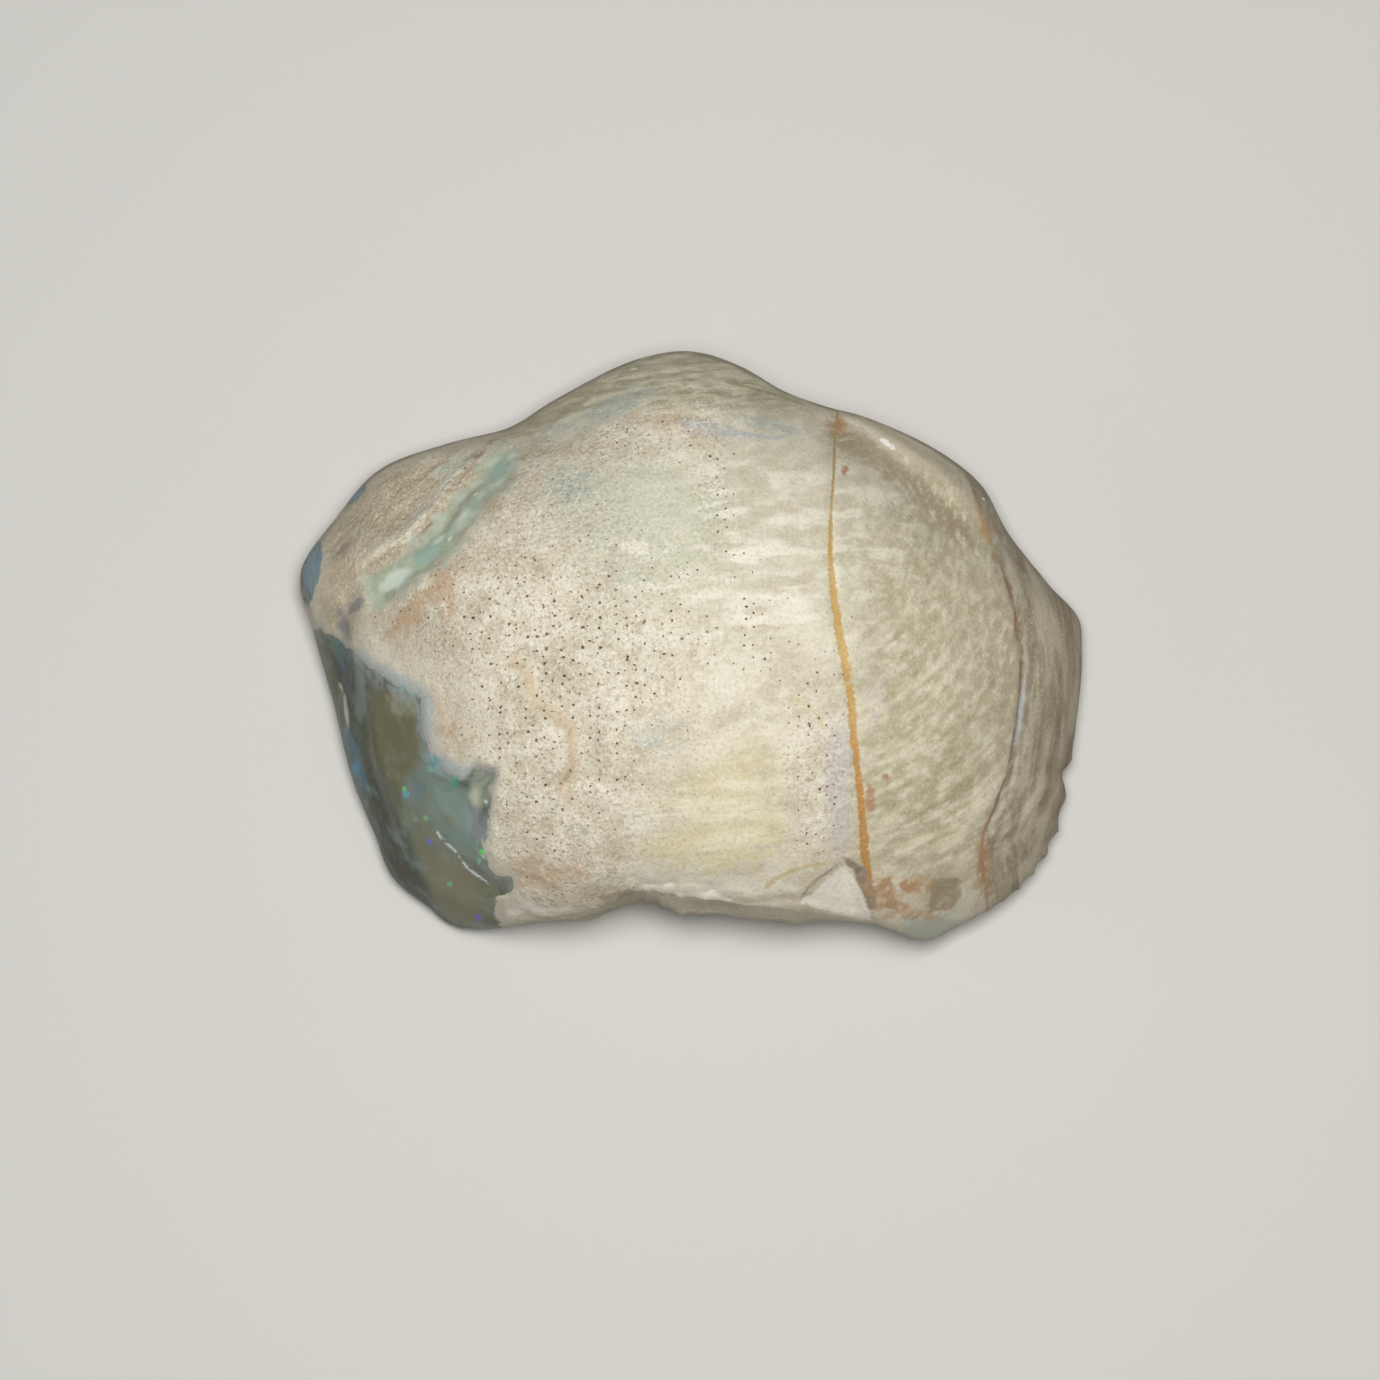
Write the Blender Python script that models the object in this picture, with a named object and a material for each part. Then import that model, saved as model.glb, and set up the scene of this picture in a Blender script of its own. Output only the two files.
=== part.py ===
"""Opalized bivalve shell: one loose, solid fossil that lies on its flat broken underside.

X runs along the shell, from the chipped opal end (-X) to the growth-lined flange (+X).
Y runs from the broken margin (-Y) to the beak (+Y). Z is up, and the table is at Z = 0.
All shape values below are millimetres; MM turns them into the scene's metres.
"""

import math

import bmesh
import bpy
import numpy as np

MM = 0.001

# Driving dimensions
SUMMIT = 19.5

# How finely the solid is faceted: steps round the shell, and rings from the summit to the middle of the base
SEGMENTS = 112
RINGS = 45
TOP_SHARE = 0.75  # share of the rings that lies on the upper face
SIDE_SHARE = 0.18  # share that lies on the side wall; the rest lies on the underside

# The margin seen from above, anticlockwise from +X: x, y, height of the edge above the table
MARGIN = (
    (22.6, 0.3, 3.4),
    (22.4, 1.9, 3.5),
    (20.7, 3.7, 4.1),
    (18.3, 6.6, 4.8),
    (16.7, 9.3, 5.4),
    (13.8, 11.4, 6.2),
    (10.8, 12.7, 6.8),
    (7.9, 13.5, 7.2),
    (5.3, 14.4, 7.6),
    (2.8, 15.8, 8.0),
    (0.0, 16.6, 8.2),
    (-3.0, 16.2, 7.8),
    (-5.7, 15.1, 7.0),
    (-8.1, 13.9, 6.2),
    (-10.6, 12.5, 5.4),
    (-14.1, 11.7, 4.6),
    (-18.0, 10.3, 4.0),
    (-20.5, 7.5, 3.6),
    (-22.3, 5.0, 3.4),
    (-22.5, 3.6, 3.2),
    (-21.8, 1.4, 2.8),
    (-20.6, -3.0, 2.2),
    (-19.3, -7.9, 2.0),
    (-18.2, -10.5, 2.0),
    (-17.2, -12.9, 2.2),
    (-15.2, -14.6, 2.6),
    (-13.2, -15.8, 3.4),
    (-10.8, -16.0, 5.4),
    (-8.2, -15.8, 8.8),
    (-5.7, -15.5, 11.2),
    (-3.0, -14.6, 12.2),
    (-1.0, -14.8, 12.6),
    (2.2, -15.2, 12.6),
    (6.4, -15.6, 11.4),
    (10.1, -15.9, 9.2),
    (13.3, -16.8, 6.0),
    (15.4, -15.9, 4.9),
    (18.9, -13.8, 3.8),
    (20.8, -11.4, 3.4),
    (21.7, -8.4, 3.3),
    (22.2, -4.6, 3.3),
)

# The edge of the chalky crust; bare opal lies to its right, going from the left end to the front
CRUST_EDGE = (
    (-24.0, 2.8),
    (-20.0, 0.4),
    (-17.8, -1.8),
    (-14.9, -3.8),
    (-14.7, -5.9),
    (-13.6, -7.7),
    (-12.1, -7.9),
    (-10.8, -8.0),
    (-11.2, -11.3),
    (-10.7, -13.4),
    (-9.8, -14.4),
    (-10.6, -19.0),
)
CRUST = 0.8  # how far the crust's broken edge stands above the opal

# Conchoidal facets of the opal end: a point on each, the way it falls in degrees, and its dip
FACETS = (
    ((-13.9, -11.3, 11.5), 219, 30),
    ((-13.9, -11.3, 11.5), 222, 50),
    ((-15.5, -5.0, 13.0), 200, 56),
    ((-15.8, -12.6, 8.7), 202, 70),
    ((-12.2, -14.9, 8.0), 240, 66),
)

# The opal-floored groove that parts the left flap from the vault, seen from its upper end
GROOVE = ((-8.8, 11.2), (-11.2, 8.2), (-12.8, 6.6), (-14.0, 5.1), (-15.8, 3.7), (-18.4, 3.0))
GROOVE_DEPTH = 1.2
GROOVE_WIDTH = 1.8
FLAP = ((-14.6, 7.4, 12.3), 128, 46)

# The raised rim along the upper right margin, and the step where the flange falls away
RIM = ((7.4, 13.4), (8.8, 12.3), (11.4, 10.4), (13.4, 9.0), (15.5, 6.9), (17.2, 4.4))
FLANGE_STEP = ((16.1, 8.0), (17.5, 4.0), (18.3, 0.2), (18.5, -2.3), (17.8, -7.5), (16.3, -12.1), (16.9, -15.0))

# Chips flaked out of the margin: the inner point, the directions its two edges run, and the slope of its sides
CHIPS = (
    ((8.5, -13.1), 216, 302, 0.75),
    ((14.4, -13.3), 232, 322, 0.55),
    ((-4.2, -13.4), 208, 296, 0.45),
    ((21.3, -7.2), 262, 352, 0.7),
)


def closed_curve(angles, values, at):
    """Catmull-Rom curve through values at rising angles, closed after a full turn, read at the angles in at."""
    turn = 2 * math.pi
    knots = np.concatenate([angles[-2:] - turn, angles, angles[:2] + turn])
    heights = np.concatenate([values[-2:], values, values[:2]])
    slopes = np.zeros_like(heights)
    slopes[1:-1] = (heights[2:] - heights[:-2]) / (knots[2:] - knots[:-2])
    i = np.searchsorted(knots[1:-1], at, side="right")
    span = knots[i + 1] - knots[i]
    s = (at - knots[i]) / span
    return (
        heights[i] * (1 + 2 * s) * (1 - s) ** 2
        + slopes[i] * span * s * (1 - s) ** 2
        + heights[i + 1] * s**2 * (3 - 2 * s)
        + slopes[i + 1] * span * s**2 * (s - 1)
    )


def margin(theta):
    """Radius and height of the margin in the direction theta."""
    x, y, height = np.array(MARGIN).T
    angles = np.arctan2(y, x) % (2 * math.pi)
    radius = closed_curve(angles, np.hypot(x, y), theta)
    return radius, closed_curve(angles, height, theta)


def broad_margin(theta):
    """The same, evened out over some twenty degrees to either side."""
    total, weights = 0, 0
    for offset in range(-40, 41, 4):
        weight = math.exp(-((offset / 20) ** 2))
        total = total + weight * np.array(margin((theta + math.radians(offset)) % (2 * math.pi)))
        weights += weight
    return total / weights


def ease(value, low, high):
    """0 below low, 1 above high, smooth in between."""
    s = np.clip((value - low) / (high - low), 0, 1)
    return s * s * (3 - 2 * s)


def hump(value, width):
    """Bell curve: 1 at zero, 0.37 at width."""
    return np.exp(-((value / width) ** 2))


def toward(theta, centre, width):
    """Bell curve around the direction centre, both in degrees."""
    return hump((np.degrees(theta) - centre + 180) % 360 - 180, width)


def lower_of(a, b, rounding):
    """The lower of two heights, with the ridge where they cross rounded over."""
    return 0.5 * (a + b - np.sqrt((a - b) ** 2 + rounding**2))


def beside(x, y, line):
    """Distance from an open line, positive to its left, and how far along it the nearest point is, 0 to 1."""
    best = np.full_like(x, np.inf)
    nearest = np.zeros_like(x)
    along = np.zeros_like(x)
    for i, ((ax, ay), (bx, by)) in enumerate(zip(line, line[1:])):
        dx, dy = bx - ax, by - ay
        length = math.hypot(dx, dy)
        s = np.clip(((x - ax) * dx + (y - ay) * dy) / length**2, 0, 1)
        distance = np.hypot(x - ax - s * dx, y - ay - s * dy)
        left = (dx * (y - ay) - dy * (x - ax)) / length
        # at a corner two pieces are equally near, and the one more squarely faced tells the side
        rank = distance - 1e-6 * np.abs(left)
        closer = rank < best
        best = np.where(closer, rank, best)
        nearest = np.where(closer, np.where(left > 0, distance, -distance), nearest)
        along = np.where(closer, (i + s) / (len(line) - 1), along)
    return nearest, along


def lumps(points, size, seed):
    """Soft unevenness of about -1 to 1: cosine waves of about one size in seeded directions."""
    rng = np.random.default_rng(seed)
    total = np.zeros(len(points))
    waves = 16
    for _ in range(waves):
        direction = rng.normal(size=3)
        direction *= 2 * math.pi / (size * rng.uniform(0.7, 1.5) * np.linalg.norm(direction))
        total += np.cos(points @ direction + rng.uniform(0, 2 * math.pi))
    return total / math.sqrt(2 * waves)


def scoops(points, size, seed):
    """Hollows of a shell-like fracture: 0 at each seeded centre, rising to crisp ridges where two hollows meet."""
    rng = np.random.default_rng(seed)
    count = int(48 * 38 * 24 / size**3)
    centres = rng.uniform((-24, -19, -2), (24, 19, 22), (count, 3))
    nearest = np.full(len(points), np.inf)
    for centre in centres:
        nearest = np.minimum(nearest, ((points - centre) ** 2).sum(1))
    return np.minimum(nearest / size**2, 1.0)


def sloping(x, y, facet):
    """Height of a tilted facet over the point x, y."""
    (fx, fy, fz), falls, dip = facet[:3]
    falls = math.radians(falls)
    down = (x - fx) * math.cos(falls) + (y - fy) * math.sin(falls)
    return fz - down * math.tan(math.radians(dip))


def vault(x, y, theta, share):
    """The unbroken shell: a vault from the summit to the margin, blunter to the left, still high at the front."""
    radius, edge = margin(theta)
    broad_radius, broad_edge = broad_margin(theta)
    share = share * (radius / broad_radius) ** (1 - share**3)
    edge = broad_edge + (edge - broad_edge) * share**3
    front = toward(theta, 272, 42)
    left = toward(theta, 200, 55)
    fullness = 2.2 + 0.7 * left + 0.7 * front
    roundness = 0.58 - 0.03 * left + 0.2 * front
    crown = SUMMIT - 0.0035 * (x + 2) ** 2 - 0.0035 * (y - 1) ** 2
    return edge + (crown - edge) * (1 - np.minimum(share, 1) ** fullness) ** roundness


def upper_face(x, y, theta, share):
    """Height of the upper face over the point x, y, which lies at that share of the way to the margin."""
    _, edge = margin(theta)
    height = vault(x, y, theta, share)
    points = np.stack([x, y, height], axis=1)
    inner = 1 - share**6

    # the beak, and the hollows that set it off from the shell's two shoulders
    height = height + 0.9 * hump(x + 0.8, 6.5) * hump(y - 13.2, 3.6) * inner
    height -= 1.3 * hump(x + 8.6, 3.6) * hump(y - 11.8 - 0.3 * (x + 8.6), 2.2) * inner

    # the rim, with the valley on its inner side
    outward, along = beside(x, y, RIM)
    ends = ease(along, 0.0, 0.25) * ease(along, 1.0, 0.75)
    height += ends * (0.55 * hump(outward - 0.7, 0.7) - 0.6 * hump(outward + 1.6, 1.4))

    # the flange, a step below the vault
    outward, along = beside(x, y, FLANGE_STEP)
    height -= 0.45 * ease(outward, -0.25, 0.35) * ease(along, 0.02, 0.2)

    # the flap falls away beyond the groove
    outward, along = beside(x, y, GROOVE)
    flap = sloping(x, y, FLAP) + 0.35 * hump(outward + 2.0, 0.7)
    height = np.where(outward < 0, height + (lower_of(height, flap, 0.8) - height) * ease(-outward, 0.0, 1.3), height)
    ends = ease(along, 0.0, 0.3) * ease(along, 1.0, 0.8)
    height -= GROOVE_DEPTH * ends * hump(outward, GROOVE_WIDTH / 2)

    # chips, then the opal end where the crust and some of the opal beneath it have flaked off
    for (cx, cy), first, second, slope in CHIPS:
        first, second = math.radians(first), math.radians(second)
        inside_first = math.cos(first) * (y - cy) - math.sin(first) * (x - cx)
        inside_second = math.sin(second) * (x - cx) - math.cos(second) * (y - cy)
        height -= slope * np.clip(np.minimum(inside_first, inside_second), 0, 2.0)
    bare, _ = beside(x, y, CRUST_EDGE)
    broken = height - CRUST
    for facet in FACETS:
        broken = lower_of(broken, sloping(x, y, facet), 0.15)
    broken = broken - 0.4 * scoops(points, 4.2, 11) + 0.15
    height += 0.12 * lumps(points, 7.0, 5)
    height += (broken - height) * ease(-bare, -0.4, 0.8)
    return np.maximum(height, edge)


def shell_points(directions):
    """Carries unit-sphere directions onto the shell: from the pole over the upper face, down the side, under the base."""
    theta = np.arctan2(directions[:, 1], directions[:, 0])
    theta = (theta + 0.25 * np.sin(theta)) % (2 * math.pi)  # closer together at the opal end
    turn = np.arccos(np.clip(directions[:, 2], -1, 1)) / math.pi
    on_top = turn <= TOP_SHARE
    radius, edge = margin(theta)
    share = np.sin(0.5 * math.pi * np.clip(turn / TOP_SHARE, 0, 1)) ** 0.9
    x = radius * share * np.cos(theta)
    y = radius * share * np.sin(theta)
    top = upper_face(x, y, theta, share)

    down = np.clip((turn - TOP_SHARE) / SIDE_SHARE, 0, 1)
    under = np.clip((turn - TOP_SHARE - SIDE_SHARE) / (1 - TOP_SHARE - SIDE_SHARE), 0, 1)
    front = toward(theta, 270, 32)
    inset = 5.0 - 2.6 * front - 2.4 * toward(theta, 205, 40)
    curl = 1 - np.cos(0.5 * math.pi * down)
    wall = np.stack([radius * np.cos(theta), radius * np.sin(theta), edge * (1 - down)], axis=1)
    flaking = (scoops(wall, 4.5, 23) - 0.4) * np.sin(math.pi * down) ** 0.7
    swell = 0.6 * np.sin(math.pi * np.clip(1.4 * down, 0, 1))
    reach = (radius - inset * curl + front * (swell + 1.1 * flaking) + 0.5 * flaking * (1 - front)) * (1 - under)
    reach = np.where(on_top, radius * share, reach)
    height = np.where(on_top, top, edge * (1 - np.sin(0.5 * math.pi * down)))
    return np.stack([reach * np.cos(theta), reach * np.sin(theta), height], axis=1)


def chalk_and_opal():
    """The one plain finish of the solid: chalky, opalised shell."""
    material = bpy.data.materials.new("opalised_shell")
    material.use_nodes = True
    shader = material.node_tree.nodes["Principled BSDF"]
    shader.inputs["Base Color"].default_value = (0.62, 0.57, 0.46, 1.0)
    shader.inputs["Roughness"].default_value = 0.55
    shader.inputs["Metallic"].default_value = 0.0
    return material


def build_shell():
    """One closed mesh: a sphere whose points are carried onto the shell's surface."""
    sphere = bmesh.new()
    bmesh.ops.create_uvsphere(sphere, u_segments=SEGMENTS, v_segments=RINGS, radius=1.0)
    directions = np.array([v.co for v in sphere.verts])
    for vert, place in zip(sphere.verts, shell_points(directions)):
        vert.co = place * MM
    bmesh.ops.triangulate(sphere, faces=sphere.faces, quad_method="SHORT_EDGE")
    mesh = bpy.data.meshes.new("opalized_shell")
    sphere.to_mesh(mesh)
    sphere.free()
    mesh.shade_smooth()
    mesh.materials.append(chalk_and_opal())
    return bpy.data.objects.new("opalized_shell", mesh)


def main():
    for obj in list(bpy.data.objects):
        bpy.data.objects.remove(obj)
    collection = bpy.data.collections.new("opalized_shell")
    bpy.context.scene.collection.children.link(collection)
    collection.objects.link(build_shell())


main()
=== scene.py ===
# An opalised bivalve shell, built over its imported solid.
# Shapes are worked out in millimetres and turned to metres when the mesh is made.
import math

import bpy
import numpy as np
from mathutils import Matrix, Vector


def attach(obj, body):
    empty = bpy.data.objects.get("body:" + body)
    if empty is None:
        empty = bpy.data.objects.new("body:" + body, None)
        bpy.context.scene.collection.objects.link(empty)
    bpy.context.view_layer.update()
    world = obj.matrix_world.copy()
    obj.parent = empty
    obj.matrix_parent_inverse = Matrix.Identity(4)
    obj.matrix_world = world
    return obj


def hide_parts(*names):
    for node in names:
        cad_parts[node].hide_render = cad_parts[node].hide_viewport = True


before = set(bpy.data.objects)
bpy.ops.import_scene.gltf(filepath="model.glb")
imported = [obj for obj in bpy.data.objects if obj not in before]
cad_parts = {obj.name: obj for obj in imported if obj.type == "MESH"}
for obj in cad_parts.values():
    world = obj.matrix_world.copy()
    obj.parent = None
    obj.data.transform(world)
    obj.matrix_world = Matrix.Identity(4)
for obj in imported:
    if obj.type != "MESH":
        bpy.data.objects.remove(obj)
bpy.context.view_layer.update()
millimetre = 0.001

# the whole shell seen from above, +x to the flange, +y to the beak
shell = {
    "stepsAround": 620,
    "topRings": 112,
    "sideRings": 34,
    "baseRings": 12,
    "crowding": 0.25,  # how much closer together the steps lie at the opal end
    "summit": 19.5,
    "crown": (-2, 1, 0.0035),  # x and y of its middle, and how fast it falls away
    # directions and half widths in degrees
    "front": (272, 42),
    "left": (200, 55),
    # how full and how round the vault is, and by how much more at the left and in the front
    "fullness": (2.2, 0.7, 0.7),
    "roundness": (0.58, -0.03, 0.2),
    # nicks in the margin: depth, direction, half width, count, sway and its count; and one notch
    "nicks": ((0.3, 331, 11, 52, 2, 9), (0.16, 268, 26, 37, 3, 7)),
    "notch": (0.4, 341.7, 1.5),
    # margin: x, y and height of the edge, anticlockwise from the flange
    "margin": (
        (22.6, 0.3, 3.4), (22.4, 1.9, 3.5), (20.7, 3.7, 4.1), (18.3, 6.6, 4.8), (16.7, 9.3, 5.4),
        (13.8, 11.4, 6.2), (10.8, 12.7, 6.8), (7.9, 13.5, 7.2), (5.3, 14.4, 7.6), (2.8, 15.8, 8.0),
        (0.0, 16.6, 8.2), (-3.0, 16.2, 7.8), (-5.7, 15.1, 7.0), (-8.1, 13.9, 6.2), (-10.6, 12.5, 5.4),
        (-14.1, 11.7, 4.6), (-18.0, 10.3, 4.0), (-20.5, 7.5, 3.6), (-22.3, 5.0, 3.4), (-22.5, 3.6, 3.2),
        (-21.8, 1.4, 2.8), (-20.6, -3.0, 2.2), (-19.3, -7.9, 2.0), (-18.2, -10.5, 2.0),
        (-17.2, -12.9, 2.2), (-15.2, -14.6, 2.6), (-13.2, -15.8, 3.4), (-10.8, -16.0, 5.4),
        (-8.2, -15.8, 8.8), (-5.7, -15.5, 11.2), (-3.0, -14.6, 12.2), (-1.0, -14.8, 12.6),
        (2.2, -15.2, 12.6), (6.4, -15.6, 11.4), (10.1, -15.9, 9.2), (13.3, -16.8, 6.0), (15.4, -15.9, 4.9),
        (18.9, -13.8, 3.8), (20.8, -11.4, 3.4), (21.7, -8.4, 3.3), (22.2, -4.6, 3.3),
    ),
}

# where the crust stops and bare opal begins, from the left end to the front, and the facets of that opal
opalEnd = {
    "crustEdge": (
        (-24.0, 2.6), (-21.0, 1.0), (-19.7, -0.1), (-18.6, -1.2), (-17.8, -2.0), (-16.6, -2.8), (-15.6, -3.5),
        (-14.8, -3.8), (-14.7, -5.8), (-14.4, -7.0), (-13.6, -7.7), (-12.6, -8.2), (-12.0, -7.9),
        (-10.75, -8.0), (-10.8, -8.7), (-11.2, -11.0), (-11.45, -12.4), (-11.2, -12.7), (-10.7, -13.4),
        (-9.8, -13.7), (-10.0, -14.3), (-10.7, -14.9), (-10.7, -15.5), (-10.4, -19.0),
    ),
    # how far its edge wanders: distance, size, seed
    "wander": ((0.16, 1.6, 31), (0.07, 0.6, 32)),
    "crust": 0.8,
    # hollows in the facets: depth, size, seed
    "hollows": ((0.2, 4.6, 11), (0.03, 1.9, 12)),
    # the dark ridge between the front and outer facets, and the ridge below the grey one, which carries a
    # painted highlight as a whitish line
    "ridge": ((-18.6, -1.0), (-18.3, -3.0), (-17.9, -4.5), (-17.8, -6.5), (-17.1, -8.8), (-16.4, -10.7),
              (-15.9, -12.6), (-15.2, -14.4), (-14.0, -16.5)),
    "bruise": ((-16.1, -8.9), (-14.9, -9.9), (-14.0, -11.3), (-13.0, -12.3), (-12.5, -13.0), (-11.5, -13.8),
               (-10.4, -14.6)),
    # flakes broken off the facets: name, colour, how deep it dishes in mm, corners; each colour is partly the
    # opal's own and partly painted light and shade of its facet, paler where it faces the light, darker where
    # it is steep
    "flakes": (
        ("ledgeFlake", "#4c5048", 0.1, ((-19.5, -0.5), (-18.6, -1.3), (-16.4, -3.0), (-14.7, -3.9),
                                        (-15.3, -4.2), (-17.1, -3.6), (-18.3, -3.0), (-19.2, -1.8))),
        ("edgeFlake", "#2b3236", 0.15, ((-20.5, -0.3), (-19.5, -0.8), (-19.1, -2.0), (-18.4, -3.0),
                                        (-19.2, -4.4), (-19.9, -3.1))),
        ("brownFlake", "#6a6747", 0.3, ((-17.9, -3.7), (-17.1, -3.4), (-15.1, -3.5), (-14.5, -4.7),
                                        (-14.4, -6.7), (-13.6, -7.6), (-16.2, -8.6), (-17.7, -6.6))),
        ("outerFlake", "#37442b", 0.25, ((-19.8, -5.0), (-18.3, -3.5), (-17.9, -6.5), (-17.3, -8.7),
                                         (-18.1, -8.3), (-19.4, -6.4))),
        ("greyFlake", "#748078", 0.3, ((-16.0, -7.8), (-14.8, -7.4), (-12.7, -8.1), (-12.2, -9.4),
                                       (-11.3, -11.4), (-11.7, -12.2), (-13.9, -11.1), (-16.2, -9.0))),
        ("lowerFlake", "#676d53", 0.3, ((-16.2, -9.1), (-13.9, -11.2), (-11.4, -13.9), (-10.5, -14.6),
                                        (-11.9, -15.9), (-14.0, -15.4), (-15.4, -13.4), (-16.6, -10.8))),
        ("darkFlake", "#1d2412", 0.2, ((-18.1, -8.2), (-16.9, -9.8), (-15.5, -13.4), (-14.0, -15.4),
                                       (-13.7, -16.3), (-15.5, -14.8), (-17.5, -11.7))),
        ("paleFlake", "#98967f", 0.1, ((-12.2, -8.1), (-10.6, -8.0), (-10.9, -9.8), (-11.7, -9.8),
                                       (-12.3, -9.4))),
        ("lilacFlake", "#7d7f84", 0.1, ((-12.6, -9.6), (-11.6, -9.9), (-11.1, -11.5), (-11.6, -11.7),
                                        (-12.3, -11.2))),
        ("shadeFlake", "#60665c", 0.15, ((-12.4, -12.7), (-11.2, -12.6), (-9.9, -13.8), (-10.2, -14.4),
                                         (-11.3, -13.9))),
    ),
    # a point on each facet, the way it falls and its dip in degrees
    "facets": (
        ((-13.9, -11.3, 11.5), 219, 30),
        ((-13.9, -11.3, 11.5), 222, 50),
        ((-15.5, -5.0, 13.0), 200, 56),
        ((-15.8, -12.6, 8.7), 202, 70),
        ((-12.2, -14.9, 8.0), 240, 66),
    ),
}

# the opal-floored groove on the upper left and the flap beyond it
flap = {
    "groove": ((-9.0, 10.9), (-9.9, 10.2), (-10.5, 9.3), (-11.0, 8.3), (-11.9, 7.3), (-12.8, 6.0),
               (-13.6, 4.9), (-14.5, 4.1), (-15.4, 3.5), (-16.6, 2.8), (-17.8, 2.2), (-18.6, 1.9)),
    "valley": ((-18.0, 2.4), (-19.1, 2.0), (-19.6, 0.8), (-19.8, -0.6), (-20.0, -2.5)),
    "depth": 0.6,
    "width": 1.9,
    "scarp": 0.35,
    "wander": ((0.18, 1.8, 41), (0.07, 0.7, 42)),
    "ridge": (0.25, 2.1, 0.4),  # height, how far beyond the groove, half width
    "slope": ((-14.6, 7.4, 12.3), 128, 46),
    "valleyDepth": (0.8, 0.6),
}

# cracks, steps and rims that run over the vault
runs = {
    "rim": ((7.4, 13.4), (8.8, 12.3), (11.4, 10.4), (13.4, 9.0), (15.5, 6.9), (17.2, 4.4)),
    "ochreCrack": ((8.36, 12.8), (8.1, 10.7), (8.0, 8.8), (7.8, 6.4), (7.7, 3.8), (7.9, 1.1), (8.3, -1.2),
                   (8.8, -4.0), (9.0, -6.4), (9.3, -8.8), (9.55, -11.0), (9.7, -12.7), (10.2, -14.1),
                   (10.7, -15.4)),
    "flangeCrack": ((16.0, 8.2), (16.5, 6.0), (17.2, 4.9), (17.5, 3.9), (17.9, 2.7), (18.3, 0.2),
                    (18.5, -1.1), (18.5, -2.3), (18.4, -3.5), (18.2, -5.1), (17.8, -7.6), (17.3, -8.9),
                    (16.9, -10.0), (16.4, -11.0), (16.3, -12.2), (16.5, -13.3), (16.9, -15.0)),
    "ledge": ((-10.3, -1.6), (-9.9, -2.3), (-9.2, -2.8), (-8.8, -3.9), (-8.4, -4.7), (-7.6, -5.4),
              (-6.7, -5.9), (-6.6, -7.0), (-6.5, -8.1), (-7.2, -8.8), (-6.9, -9.6), (-7.1, -10.7)),
    "pitLine": ((0.5, 11.4), (1.4, 8.4), (1.9, 5.5), (3.0, 1.0), (4.4, -3.9)),
}
chips = (
    # inner point, the directions its two edges run in degrees, and the slopes of its two sides
    ((8.5, -12.9), 218, 302, 0.5, 1.9),
    ((14.4, -13.3), 232, 322, 0.55, 0.55),
    ((-4.2, -13.4), 208, 296, 0.45, 0.45),
    ((21.3, -7.2), 262, 352, 0.7, 0.7),
)
# small flakes lost along the front edge: name, colour, how deep it dishes in mm, corners
frontFlakes = (
    ("brokenEdge", "#c9bfab", 0.15, ((-3.2, -15.1), (-1.9, -14.95), (-0.4, -15.2), (0.6, -15.05),
                                     (2.4, -15.35), (3.9, -15.25), (6.1, -15.5), (8.4, -15.7),
                                     (10.2, -16.1), (9.5, -17.5), (-2.8, -17.0))),
    ("triangle", "#ece5d8", 0.1, ((8.6, -13.1), (7.3, -14.2), (6.1, -15.1), (8.1, -15.5), (10.2, -15.9),
                                   (9.8, -14.9), (9.2, -13.9))),
    # painted shade on the chip's steep side
    ("steepFaceShade", "#6e5e4d", 0.1, ((8.4, -12.7), (9.7, -13.1), (10.1, -13.7), (10.35, -14.5), (10.5, -15.4),
                                   (9.95, -15.3), (9.6, -14.5), (9.1, -13.6))),
    ("brownFace", "#97876a", 0.35, ((13.5, -13.7), (15.2, -13.6), (15.4, -14.4), (14.9, -15.2),
                                    (13.5, -15.4))),
    ("paleFace", "#c4c1ac", 0.2, ((15.3, -13.9), (16.1, -14.1), (16.1, -15.2), (14.9, -15.8), (13.9, -15.7),
                                  (14.9, -15.2), (15.4, -14.5))),
    ("nub", "#a9ad9f", 0.1, ((12.0, -15.7), (15.1, -15.6), (15.9, -16.2), (14.2, -17.9), (12.1, -17.4))),
)
# thin growth lines, scars and edges: name, colour, half width in mm, points
fineLines = (
    ("frontLine", "#b5a273", 0.14, ((8.0, -13.05), (6.6, -13.2), (5.4, -13.6), (4.5, -14.1), (3.8, -14.7))),
    # painted shade along the chip's left edge
    ("triangleEdgeShade", "#8d7f69", 0.1, ((8.5, -12.9), (7.3, -13.75), (6.7, -14.2), (5.9, -15.2))),
    ("scarArc", "#c3b48e", 0.13, ((5.2, -4.3), (6.2, -4.5), (7.1, -5.3), (7.5, -6.4))),
    ("beakLine", "#9c8c60", 0.13, ((1.5, 14.1), (3.2, 13.9), (5.0, 13.6), (7.2, 12.9))),
    ("beakStep", "#a7abab", 0.16, ((1.2, 10.5), (2.6, 10.7), (4.6, 10.5), (5.8, 10.8))),
)
# the same along the front edge, over the wall as well
edgeLines = (
    ("whiteFold", "#cbc7b8", 0.6, ((-10.7, -15.0), (-10.2, -15.4), (-9.7, -15.6))),
    ("lipFold", "#d6d3c7", 0.22, ((-11.0, -15.0), (-10.2, -15.5), (-9.6, -15.3), (-9.0, -15.15),
                                  (-8.6, -15.35), (-8.0, -15.55), (-7.4, -15.5), (-6.7, -15.4),
                                  (-5.9, -15.2))),
    ("brownBrink", "#8f7c65", 0.2, ((-5.4, -14.9), (-4.4, -14.7), (-3.2, -14.6), (-1.9, -14.8),
                                    (-1.2, -14.7))),
    ("whiteBrink", "#e9e3d9", 0.22, ((-1.4, -14.75), (-0.2, -14.8), (0.6, -14.75), (1.7, -15.0),
                                     (2.8, -15.1))),
)
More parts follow.
